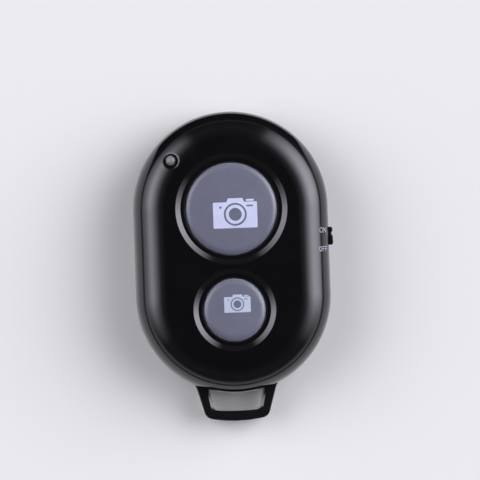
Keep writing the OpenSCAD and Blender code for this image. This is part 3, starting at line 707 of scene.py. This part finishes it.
def loop_outline():
    """The loop's outside, which flares into the case's rounded end."""
    root_y = case_end_y + loop_bed
    half = taper(loop_root_w, root_y, loop_tip_w, case_end_y - loop_reach, loop_corner_r, loop_crown)
    root, lower = Vector(half[0]), Vector(half[1])
    along = (lower - root).normalized()
    across = Vector((-along.y, along.x))
    centre = Vector((0, -cap_y))
    # The flare touches the loop's side, and a circle just inside the case's edge
    near = case_r - 0.25
    t = 0.0
    while (root + across * loop_flare_r + along * t - centre).length < near + loop_flare_r:
        t += 0.005
    hub = root + across * loop_flare_r + along * t
    start = (centre - hub).normalized()
    a0 = math.degrees(math.atan2(start.y, start.x))
    a1 = math.degrees(math.atan2(-across.y, -across.x))
    if a1 < a0 - 180:
        a1 += 360
    flare = arc(hub, loop_flare_r, a0, a1, 8)
    # From the flare the outline goes on inside the case, out of sight
    inside = centre + (Vector(flare[0]) - centre) * (1 - 1.4 / case_r)
    return whole([(inside.x - 1.5, root_y), tuple(inside)] + flare + half[1:])


def make_loop():
    high_z = loop_low_z + loop_t
    edge_r = 0.16
    hole_root_w, hole_tip_w, hole_reach, corner_r, crown = 9.7, 7.5, 2.7, 0.8, 0.12
    root_y, tip_y = case_end_y + loop_bed, case_end_y - hole_reach
    loop = rounded_slab("loop", loop_outline(), loop_low_z, high_z, edge_r, edge_r)
    hole = whole(taper(hole_root_w, root_y, hole_tip_w, tip_y, corner_r, crown))
    # Growth of the hole at each height: rounded below, and wider towards the top as the mould leaves it
    draft = ((0.2, loop_low_z - 0.5), (0.2, loop_low_z), (0.05, loop_low_z + 0.1), (0, loop_low_z + 0.25),
             (0.26, high_z - 0.16), (0.28, high_z - 0.14), (0.5, high_z), (0.9, high_z + 0.5))
    cut(loop, loft("loop_hole", [lifted(grown(hole, by), z) for by, z in draft]))
    return loop


def door_outline(grow):
    r = door_r + grow
    edge = door_edge_y + grow
    high = math.degrees(math.asin((edge - door_high_y) / r))
    points = arc((0, door_high_y), r, 0, high, 40) + arc((0, door_high_y), r, 180 - high, 180, 40)
    return points + arc((0, door_low_y), r, 180, 360, arc_steps)


def door_slab(grow, low, high):
    return loft("slab", [lifted(door_outline(grow), z) for z in (low, high)])


def hook_room(side):
    """Room through the deck for a hook of the door, also as it swings up about the hinge line."""
    hinge_y = door_edge_y + door_gap
    front_r = math.hypot(hook_reach - door_gap, hook_top_z)
    back = math.sqrt((hook_t + door_gap) ** 2 + hook_top_z ** 2 - deck_z ** 2)
    half = hook_w / 2 + hook_gap
    low = (side * hook_x - half, hinge_y - back - hook_gap, door_t)
    high = (side * hook_x + half, hinge_y + hook_reach + hook_gap, front_r + hook_gap)
    return box("hook_room", low, high)


def lower_shell():
    """The shell's outside, with the seam's gap and the lip that stands into the upper shell."""
    seam_r, seam_z = case_r - seam_gap, split_z - seam_gap
    lip_r, lip_z = inner_r + lip_t, split_z + lip_h
    outer = [(case_r - back_r, 0)] + arc((case_r - back_r, back_r), back_r, -90, 0, 18)[1:]
    outer += arc((case_r - seam_round, seam_z - seam_round), seam_round, 0, 90, 5)
    outer += [(seam_r, seam_z), (seam_r, split_z), (lip_r, split_z)]
    outer += [(lip_r, lip_z - 0.1), (lip_r - 0.1, lip_z)]
    return oblong("lower", outer)


def make_lower_case():
    case = lower_shell()
    join(case, make_loop())
    hollow = arc((case_r - back_r, back_r), back_r - wall, -90, 0, 10)
    hollow.append((inner_r, split_z + lip_h + over))
    cut(case, oblong("hollow", hollow))
    join(case, door_slab(deck_lap, bed_z, deck_z + deck_t))
    join(case, turned("well", [(well_r, bed_z), (well_r, well_top_z)], (0, cell_y)))
    for at in screw_places:
        join(case, turned("boss", [(boss_r, bed_z), (boss_r, board_z)], at, steps=48))
    for at in ((-rest_x, rest_y), (rest_x, rest_y)):
        join(case, turned("rest", [(rest_r, bed_z), (rest_r, board_z)], at, steps=32))
    join(case, turned("post", [(post_r, bed_z), (post_r, board_z)], (0, post_y), steps=40))
    cut(case, door_slab(door_gap, -over, deck_z))
    cut(case, turned("cell_room", [(cell_room_r, -over), (cell_room_r, board_z + over)], (0, cell_y)))
    head_room_r = screw_head_r + 0.15
    for at in screw_places:
        cut(case, turned("head_room", [(head_room_r, -over), (head_room_r, screw_seat_z)], at, steps=48))
        bore = [(lower_bore_r, screw_seat_z - 0.2), (lower_bore_r, board_z + over)]
        cut(case, turned("bore", bore, at, steps=32))
    for side in (-1, 1):
        cut(case, hook_room(side))
    cut(case, box("contact_room", contact_room_low, contact_room_high))
    cut(case, box("switch_room", switch_room_low, switch_room_high))
    # A slot to pry the door up with, from beyond the case's end to just inside the door's edge
    pry_w, pry_l, pry_depth = 6, 5.2, 0.8
    pry_y = door_end_y + 0.35 - pry_l / 2
    slot = rounded_rectangle(pry_w, pry_l, 0.5, (0, pry_y))
    cut(case, rounded_slab("pry_slot", slot, -over, pry_depth, 0, 0.2))
    cut(case, window_cutter())
    piece(case, "lower_case_shell", "remote_body", back_black, ["lower_case"])


# Battery door


def make_door():
    """The door's plate, rounded below, with its stiffening ring, two hooks and two latch beads."""
    edge = 0.18
    rings = []
    for i in range(6):
        a = math.pi / 2 * i / 5
        outline = door_outline(-edge * (1 - math.sin(a)))
        rings.append(lifted(outline, edge * (1 - math.cos(a))))
    rings.append(lifted(door_outline(0), door_t))
    door = loft("door", rings)
    near, far, low, high, chamfer = 6.2, 7.0, 1.0, 1.4, 0.04
    rib = [(near, low), (far, low), (far, high - chamfer), (far - chamfer, high),
           (near + chamfer, high), (near, high - chamfer)]
    join(door, turned("rib", rib, (0, cell_y), closed=True))
    stem_low, stem_high, hook_low = door_t - hook_lift, 1.8, door_t + hook_lift
    latch_l, latch_r, latch_reach = 3.4, 0.25, 0.08
    latch_y = (door_low_y + door_high_y) / 2
    # The hook starts a hair behind its stem, so that no two faces of theirs coincide
    hair = 0.001
    for side in (-1, 1):
        left, right = side * hook_x - hook_w / 2, side * hook_x + hook_w / 2
        stem_start = (left, door_edge_y - hook_t, stem_low)
        hook_start = (left, door_edge_y - hook_t - hair, hook_low)
        join(door, box("hook_stem", stem_start, (right, door_edge_y, stem_high)))
        join(door, box("hook", hook_start, (right, door_edge_y + hook_reach, hook_top_z)))
        latch_at = (side * (door_r + latch_reach - latch_r), latch_y, door_t / 2)
        join(door, pill("latch", latch_at, latch_l, latch_r))
    piece(door, "battery_door_panel", "battery_door", door_black, ["battery_door"])


# Coin cell's can and the case's screws


def make_can():
    """A cup with a rounded base, turned in over its seal, and a plain plus sign sunk in its face."""
    low, high = cell_low_z, cell_low_z + can_h
    base_round, rim_round, mouth_r = 0.45, 0.4, 9.3
    sign_l, sign_w, sign_depth, sign_y = 2.6, 0.5, 0.07, cell_y + 5.6
    at = (0, cell_y)
    outer = [(cell_r - base_round, low)]
    outer += arc((cell_r - base_round, low + base_round), base_round, -90, 0, 8)[1:]
    outer += arc((cell_r - rim_round, high - rim_round), rim_round, 0, 90, 8)
    can = turned("can", outer, at, steps=160)
    cut(can, turned("room", [(cell_r - can_t, low + can_t), (cell_r - can_t, high - can_t)], at, steps=160))
    cut(can, turned("mouth", [(mouth_r, high - 2 * can_t), (mouth_r, high + can_t)], at, steps=160))
    for w, h in ((sign_l, sign_w), (sign_w, sign_l)):
        bar = rounded_rectangle(w, h, 0.2, (0, sign_y), 4)
        cut(can, rounded_slab("plus", bar, low - can_t, low + sign_depth, 0, 0.04))
    steel = inner_materials["cell_steel"]
    piece(can, "battery_can_shell", "coin_cell", steel, ["battery_can"])


def make_screw(at):
    """A cross-head screw with a rounded head that faces down."""
    low = deck_z
    core_r, pitch, land = 0.66, 0.55, 0.12
    crown, head_round = 0.28, 0.15
    thread_l = 4.7
    path = [(0.5, low)] + [(x, low + crown * (x / screw_head_r) ** 3) for x in (0.9, 1.15, 1.3)]
    path += arc((screw_head_r - head_round, low + 0.36), head_round, -35, 0, 4)
    path += [(screw_head_r, screw_seat_z - 0.03), (screw_head_r - 0.03, screw_seat_z)]
    path.append((core_r, screw_seat_z))
    z = screw_seat_z
    while z < screw_seat_z + thread_l:
        path += [(core_r, z + land), (screw_r, z + pitch / 2), (core_r, z + pitch - land)]
        z += pitch
    path += [(core_r, z), (0.2, z + pitch / 2)]
    screw = turned("screw", path, at, steps=48)
    cross_l, cross_w, cross_tip = 1.9, 0.3, 0.22
    for w, h in ((cross_l, cross_w), (cross_w, cross_l)):
        rings = []
        # The cross narrows as it goes in
        for share, lift in ((1.1, -0.2), (1.0, 0.0), (0.45, 0.45)):
            half_w = max(w / 2 * share, cross_tip / 2)
            half_h = max(h / 2 * share, cross_tip / 2)
            corners = [(-half_w, -half_h), (half_w, -half_h), (half_w, half_h), (-half_w, half_h)]
            rings.append([(at[0] + x, at[1] + y, low + lift) for x, y in corners])
        cut(screw, loft("cross", rings))
    return screw


def make_screws():
    pair = make_screw(screw_places[0])
    merge(pair, make_screw(screw_places[1]))
    steel = inner_materials["screw_steel"]
    piece(pair, "case_screw_pair", "remote_body", steel, ["case_screws"])


# Tactile switches' snap domes


def make_dome(name, y):
    """A thin dished spring, drawn at rest, of the kind that flattens when its button is pressed."""
    ball_r = (dome_r ** 2 + dome_h ** 2) / (2 * dome_h)
    centre = (0, dome_low_z + dome_h - ball_r)
    rim = math.degrees(math.acos(dome_r / ball_r))
    inner_rim = math.degrees(math.asin((dome_low_z - centre[1]) / (ball_r - dome_t)))
    path = arc(centre, ball_r - dome_t, 89, inner_rim, 12) + arc(centre, ball_r, rim, 89, 12)
    dome = turned("dome", path, (0, y), steps=64)
    steel = inner_materials["switch_steel"]
    piece(dome, name + "_snap_dome", "remote_body", steel, [name + "_switch_dome"])
    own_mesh(dome)


# Buttons


def make_button(name, r, y):
    """A hollow cap, kept in by a flange and a key, with ribs inside and a post onto its switch."""
    # Rounded edge, wider than deep, that runs into a slightly crowned face
    edge_w, edge_h = 1.15, 0.7
    edge_steps, crown_steps = 18, 14
    hub_z = button_top_z - crown_r
    lean = math.asin((r - edge_w) / crown_r)
    last = math.atan(edge_h / (edge_w * math.tan(lean)))
    meet_r = r - edge_w + edge_w * math.cos(last)
    edge_z = hub_z + math.sqrt(crown_r ** 2 - meet_r ** 2) - edge_h * math.sin(last)
    flange_r = r + flange_w
    path = [(flange_r - 0.05, button_low_z), (flange_r, button_low_z + 0.05)]
    path += [(flange_r, flange_top_z - 0.1), (flange_r - 0.1, flange_top_z), (r, flange_top_z)]
    for i in range(edge_steps + 1):
        a = last * i / edge_steps
        path.append((r - edge_w + edge_w * math.cos(a), edge_z + edge_h * math.sin(a)))
    meet_angle = 90 - math.degrees(math.asin(meet_r / crown_r))
    path += arc((0, hub_z), crown_r, meet_angle, 90, crown_steps)[1:-1]
    cap = turned("cap", path, (0, y), steps=144)
    side_t, stem_r, ceiling_z = 1.1, 1.6, 9.1
    rib_half, rib_low, rib_bed = 0.35, 8.325, 0.3
    side = r - side_t
    low = button_low_z - over
    hollow = [(stem_r, low), (side, low), (side, ceiling_z), (stem_r, ceiling_z)]
    cut(cap, turned("hollow", hollow, (0, y), closed=True, steps=96))
    half, rib_top = side + rib_bed, ceiling_z + rib_bed
    join(cap, box("rib", (-half, y - rib_half, rib_low), (half, y + rib_half, rib_top)))
    join(cap, box("rib", (-rib_half, y - half, rib_low), (rib_half, y + half, rib_top)))
    key_end = (flange_r + key_reach, y + key_w / 2, flange_top_z)
    join(cap, box("key", (r, y - key_w / 2, button_low_z), key_end))
    piece(cap, name + "_cap", name, button_grey, [name])


def plate(name, loops, place, low, high):
    """A thin closed plate from an outer loop and its holes, bent onto a surface by place(u, v, height)."""
    flat = [[Vector((u, v, 0)) for u, v in loop] for loop in loops]
    points = [p for loop in flat for p in loop]
    n = len(points)
    triangles = tessellate_polygon(flat)
    verts = [place(p.x, p.y, low) for p in points] + [place(p.x, p.y, high) for p in points]
    faces = [tuple(t) for t in triangles] + [tuple(i + n for i in reversed(t)) for t in triangles]
    start = 0
    for loop in loops:
        for i in range(len(loop)):
            a, b = start + i, start + (i + 1) % len(loop)
            faces.append((a, b, b + n, a + n))
        start += len(loop)
    return mesh_object(name, verts, faces)


def pictogram_loops():
    """A plain sign of a camera: its body with a step on top, a lens, a shutter button and a small window."""
    half_w, low, high, step_top = 3.55, -2.4, 1.78, 2.4
    step = [(-1.35, high), (-1.12, step_top), (1.22, step_top), (1.45, high)]
    outline = rounded_rectangle(2 * half_w, high - low, 0.16, (0, (high + low) / 2), 3)
    right_top = [p for p in outline if p[0] > 0 and p[1] > 0]
    left = [p for p in outline if p[0] < 0]
    right_low = [p for p in outline if p[0] > 0 and p[1] < 0]
    body = right_top + list(reversed(step)) + left + right_low
    lens_at = (0, -0.2)
    gap = arc(lens_at, 1.84, 360, 0, 48)[:-1]
    ring_out = circle(lens_at, 1.54, 48)
    ring_in = arc(lens_at, 1.04, 360, 0, 40)[:-1]
    dot = arc((-2.35, 0.95), 0.2, 360, 0, 16)[:-1]
    window = list(reversed(rounded_rectangle(1.1, 0.26, 0.1, (2.35, 1.15), 3)))
    button = rounded_rectangle(1.3, 0.3, 0.12, (2.4, 2.05), 3)
    return [body, gap, dot, window], [ring_out, ring_in], [button]


def make_pictogram(name, body, r, y, size, at, ink):
    """The camera sign on a button, as a thin skin of print that follows the crowned face."""
    low, high = 9.5, 10.5
    sunk, proud, edge_margin = 0.01, 0.012, 0.7

    def place(u, v, h):
        return (at[0] + u * size, y + at[1] + v * size, h)

    first, *others = pictogram_loops()
    sign = plate("sign", first, place, low, high)
    for loops in others:
        merge(sign, plate("part", loops, place, low, high))
    lean = math.degrees(math.asin((r - edge_margin) / crown_r))
    skin = []
    for lift, turn in ((-sunk, 1), (proud, -1)):
        skin += arc((0, button_top_z - crown_r), crown_r + lift, 90 - lean, 90 - 0.01, 40)[::turn]
    combine(sign, turned("skin", skin, (0, y), closed=True, steps=96), "INTERSECT")
    piece(sign, name, body, ink)


# Marks beside the power switch


def densify(loop):
    """The loop with more points on its long edges, so that it can be bent."""
    step = 0.12
    result = []
    for i, p in enumerate(loop):
        q = loop[(i + 1) % len(loop)]
        count = max(1, math.ceil(math.dist(p, q) / step))
        across, along = q[0] - p[0], q[1] - p[1]
        result += [(p[0] + across * k / count, p[1] + along * k / count) for k in range(count)]
    return result


def oval(w, h, inset, start, stop, count):
    angles = np.linspace(start, stop, count)[:-1]
    return [(w / 2 + (w / 2 - inset) * math.cos(a), h / 2 + (h / 2 - inset) * math.sin(a)) for a in angles]


def letter(kind, w, h, t):
    """Outline loops of a plain capital in a box of that width and height, with strokes t wide."""
    if kind == "O":
        return [oval(w, h, 0, 0, 2 * math.pi, 29), oval(w, h, t, 2 * math.pi, 0, 25)]
    if kind == "N":
        slant = 2 * t
        return [[(0, 0), (t, 0), (t, h - slant), (w - t, 0), (w, 0), (w, h),
                 (w - t, h), (w - t, slant), (t, h), (0, h)]]
    middle, bar_w = h * 0.52, w * 0.88
    return [[(0, 0), (t, 0), (t, middle - t / 2), (bar_w, middle - t / 2), (bar_w, middle + t / 2),
             (t, middle + t / 2), (t, h - t), (w, h - t), (w, h), (0, h)]]


def make_mark(name, word, x, y, width, height):
    """A word that runs down the case's side slope."""
    gap, stroke = 0.14, 0.125
    sunk, proud = 0.02, 0.012
    start = math.asin((x - shoulder_x) / shoulder_r)
    w = (width - gap * (len(word) - 1)) / len(word)

    def place(u, v, h):
        a = start + u / shoulder_r
        r = shoulder_r + h
        return (shoulder_x + r * math.sin(a), y + v - height / 2, shoulder_z + r * math.cos(a))

    mark = None
    for i, kind in enumerate(word):
        shift = i * (w + gap)
        loops = [densify([(u + shift, v) for u, v in loop]) for loop in letter(kind, w, height, stroke)]
        made = plate("mark", loops, place, -sunk, proud)
        if mark is None:
            mark = made
        else:
            merge(mark, made)
    piece(mark, name, "remote_body", mark_white)


# Indicator and power switch knob


def make_indicator():
    """A clear lens with a foot and a domed top."""
    foot_r, foot_low, foot_high, chamfer = 1.2, 6.6, 7.2, 0.05
    crown_z = 8.75
    path = [(foot_r - chamfer, foot_low), (foot_r, foot_low + chamfer), (foot_r, foot_high - chamfer)]
    path += [(foot_r - chamfer, foot_high), (led_r, foot_high)] + arc((0, crown_z), led_r, 0, 86, 14)
    lens = turned("lens", path, (led_x, led_y), steps=64)
    piece(lens, "status_led_lens", "remote_body", clear_epoxy, ["status_led"])


def make_knob():
    """A bar that stands out of the window with a saddle in its tip, on a plate behind the window."""
    half = knob_l / 2
    neck_x, root_x, end_r, edge_r = 15.9, 14.5, 0.36, 0.16
    saddle_half, saddle_at, saddle_w, saddle_depth, fall = 1.1, 0.42, 0.3, 0.22, 0.025
    outline = [(root_x, -half), (neck_x, -half)]
    outline += arc((knob_tip_x - end_r, -half + end_r), end_r, -70, 20, 6)
    for i in range(19):
        v = -saddle_half + 2 * saddle_half * i / 18
        notch = saddle_depth * math.exp(-((v - saddle_at) / saddle_w) ** 2)
        outline.append((knob_tip_x - fall * (v + saddle_half) / saddle_half - notch, v))
    outline += arc((knob_tip_x - 2 * fall - end_r, half - end_r), end_r, 10, 75, 6)
    outline += [(neck_x, half), (root_x, half)]
    outline = [(x, knob_y + y) for x, y in outline]
    knob = rounded_slab("knob", outline, split_z - knob_h / 2, split_z + knob_h / 2, edge_r, edge_r)
    plate_l, plate_h, plate_low_x, plate_high_x = 6.5, 2.1, 14.2, 14.6
    back = rounded_rectangle(plate_l, plate_h, 0.12, (knob_y, split_z), 3)
    join(knob, rounded_slab("knob_plate", back, plate_low_x, plate_high_x, 0, 0, place=sideways))
    # Room for the slide switch's actuator, which the knob takes along
    room_l, room_h, room_x = 1.66, 0.96, 15.35
    room_low = (plate_low_x - 0.2, knob_y - room_l / 2, split_z - room_h / 2)
    cut(knob, box("actuator_room", room_low, (room_x, knob_y + room_l / 2, split_z + room_h / 2)))
    piece(knob, "switch_knob_slider", "power_switch", knob_black, ["switch_knob"])


make_upper_case()
make_lower_case()
make_door()
make_can()
make_screws()
make_dome("large", large_y)
make_dome("small", small_y)
make_button("large_button", large_r, large_y)
make_button("small_button", small_r, small_y)
make_pictogram("large_button_sign", "large_button", large_r, large_y, 1.02, (0.6, -0.75), print_white)
make_pictogram("small_button_sign", "small_button", small_r, small_y, 0.61, (0.44, 1.04), print_thin)
make_mark("switch_mark_on", "ON", x=14.36, y=3.15, width=1.9, height=0.9)
make_mark("switch_mark_off", "OFF", x=14.22, y=0.05, width=2.25, height=0.86)
make_indicator()
make_knob()


# Floor, light and camera

air_tint = (1.0, 0.985, 1.05)


def matt_material(name, grain, colour, other):
    material, n, shader = new_material(name)
    at = n.place()
    n.set(shader, "Base Color", n.mix(n.noise(at, grain, 3), colour, other))
    shader.inputs["Roughness"].default_value = 0.9
    shader.inputs["Specular IOR Level"].default_value = 0.1
    return material, n, shader, at


def make_floor():
    size = 3.0
    corners = [(-size, -size, 0), (size, -size, 0), (size, size, 0), (-size, size, 0)]
    floor = mesh_object("floor", corners, [(0, 1, 2, 3)])
    pale, paler = rgb(0.785, 0.785, 0.785), rgb(0.80, 0.80, 0.80)
    material, n, shader, at = matt_material("floor_pale", 0.02, pale, paler)
    # Away from the case, gloss sees the floor as an even pale ground with little of the object's own shadow
    ground = n.add("ShaderNodeEmission", Strength=0.9)
    ground.inputs["Color"].default_value = rgb(*air_tint)
    fade_from, fade_to, most = case_r + 0.5, case_r + 3.5, 0.75
    x, y, z = n.add("ShaderNodeSeparateXYZ", Vector=at).outputs
    past = n.math("MAXIMUM", n.math("SUBTRACT", n.math("ABSOLUTE", y), cap_y), 0)
    away = n.math("SQRT", n.math("ADD", n.math("MULTIPLY", x, x), n.math("MULTIPLY", past, past)))
    share = n.ramp(away, fade_from, fade_to, 0, most)
    path = n.add("ShaderNodeLightPath")
    both = n.add("ShaderNodeMixShader", Fac=n.math("MULTIPLY", path.outputs["Is Glossy Ray"], share))
    n.tree.links.new(shader.outputs["BSDF"], both.inputs[1])
    n.tree.links.new(ground.outputs["Emission"], both.inputs[2])
    n.tree.links.new(both.outputs[0], n.tree.nodes["Material Output"].inputs["Surface"])
    floor.data.materials.append(material)
    if floor.data.polygons[0].normal.z < 0:
        floor.data.flip_normals()


def make_dark_reflection_card():
    """A dark ring of card on the floor, wide beyond the case's two ends, which only gloss sees: a painted
    dark reflection in the glossy case, which lights and shades nothing.
    """
    steps = 144
    narrow_near, narrow_far, wide_near, wide_far = 56, 130, 21.5, 400
    narrow_off, wide_off = 72, 44
    low, high = 0.05, 0.1
    rings = []
    for i in range(steps):
        a = 2 * math.pi * (i + 0.5) / steps
        # Degrees off the case's length, and from them a smooth change from the wide part to the narrow one
        off = abs(math.degrees(math.asin(math.sin(a))) - 90)
        share = min(max((narrow_off - off) / (narrow_off - wide_off), 0), 1)
        share = share * share * (3 - 2 * share)
        near = narrow_near + (wide_near - narrow_near) * share
        far = narrow_far + (wide_far - narrow_far) * share
        middle_y = math.copysign(cap_y, math.sin(a))
        section = [(near, low), (far, low), (far, high), (near, high)]
        rings.append([(r * math.cos(a) * MM, (middle_y + r * math.sin(a)) * MM, z * MM) for r, z in section])
    card = loft("painted_reflection_card", rings, closed=True)
    # Colours of the painted dark reflection
    dark, darker = rgb(0.010, 0.010, 0.011), rgb(0.006, 0.006, 0.007)
    material = matt_material("painted_dark_reflection", 0.05, darker, dark)[0]
    card.data.materials.append(material)
    # Hidden from all rays but gloss, so it only paints dark reflections into the case
    card.visible_camera = False
    card.visible_diffuse = False
    card.visible_transmission = False
    card.visible_shadow = False


def curve(n, value, points):
    """A float curve through points of x and y between 0 and 1."""
    node = n.add("ShaderNodeFloatCurve", Value=value)
    line = node.mapping.curves[0]
    line.points[0].location = points[0]
    line.points[1].location = points[-1]
    for p in points[1:-1]:
        line.points.new(*p)
    node.mapping.update()
    return node.outputs["Value"]


def make_light():
    """Two large soft boxes, one on each side, under a dark ceiling, with a pale rim along the horizon."""
    right_strength, left_strength = 6.6, 4.79
    haze, ambient = 0.04, 0.03
    rim_from, rim_full, rim_strength = 0.86, 0.97, 0.68
    world = bpy.data.worlds.new("studio")
    bpy.context.scene.world = world
    world.use_nodes = True
    n = Nodes(world.node_tree)
    coord = n.add("ShaderNodeTexCoord")
    x, y, z = n.add("ShaderNodeSeparateXYZ", Vector=coord.outputs["Generated"]).outputs
    # Angle from straight up as a share of a right angle, and a box's light at each such share
    polar = n.math("DIVIDE", n.math("ARCCOSINE", z), math.pi / 2)
    rise = [(0, 0), (0.05, 0.004), (0.16, 0.027), (0.25, 0.06),
            (0.36, 0.26), (0.45, 0.51), (0.56, 0.84), (0.65, 1.0)]
    right = rise + [(0.74, 0.95), (0.83, 0.84), (0.91, 0.60), (1, 0.28)]
    left = rise + [(0.74, 0.80), (0.83, 0.55), (0.91, 0.30), (1, 0.10)]
    # A box's light at each angle round from straight sideways, in degrees
    spread_low, spread_high = -60, 90
    spread = [(-60, 0), (-38, 0), (-30, 0.08), (-20, 0.23), (-10, 0.5), (0, 0.82), (10, 1), (20, 0.97),
              (30, 0.88), (40, 0.70), (50, 0.46), (60, 0.18), (67, 0), (90, 0)]
    around_share = [((a - spread_low) / (spread_high - spread_low), v) for a, v in spread]
    # The rim fades away beyond the end of the case that the large button is at
    total = n.math("MULTIPLY", n.ramp(polar, rim_from, rim_full), n.ramp(y, 0.5, 0.85, rim_strength, 0))
    for flip, strength, heights in ((1, right_strength, right), (-1, left_strength, left)):
        azimuth = n.math("ARCTAN2", y, n.math("MULTIPLY", x, flip))
        around = n.ramp(azimuth, math.radians(spread_low), math.radians(spread_high))
        height = curve(n, polar, heights)
        share = curve(n, around, around_share)
        box_light = n.math("MULTIPLY", share, n.math("MULTIPLY", height, strength))
        total = n.math("ADD", total, n.math("MAXIMUM", box_light, n.math("MULTIPLY", height, haze)))
    total = n.math("ADD", total, ambient)
    background = n.add("ShaderNodeBackground", Strength=total)
    background.inputs["Color"].default_value = rgb(*air_tint)
    n.add("ShaderNodeOutputWorld", Surface=background.outputs["Background"])


def make_camera():
    """A long lens nearly straight above, which looks a little from the left and is turned a little."""
    tilt, turn = math.radians(-1.6), math.radians(-2.0)
    distance = 1316.1
    # The picture's middle, on the plane of the case's widest outline
    middle = Vector((1.385, 1.960, split_z)) * MM
    data = bpy.data.cameras.new("camera")
    data.lens = 600
    data.sensor_width = 36
    data.clip_start = 0.1
    data.clip_end = 20
    camera = bpy.data.objects.new("camera", data)
    bpy.context.scene.collection.objects.link(camera)
    camera.rotation_euler = (0, tilt, turn)
    camera.location = middle + camera.rotation_euler.to_matrix() @ Vector((0, 0, distance * MM))
    bpy.context.scene.camera = camera


make_floor()
make_dark_reflection_card()
make_light()
make_camera()
bpy.context.scene.view_settings.view_transform = "Standard"
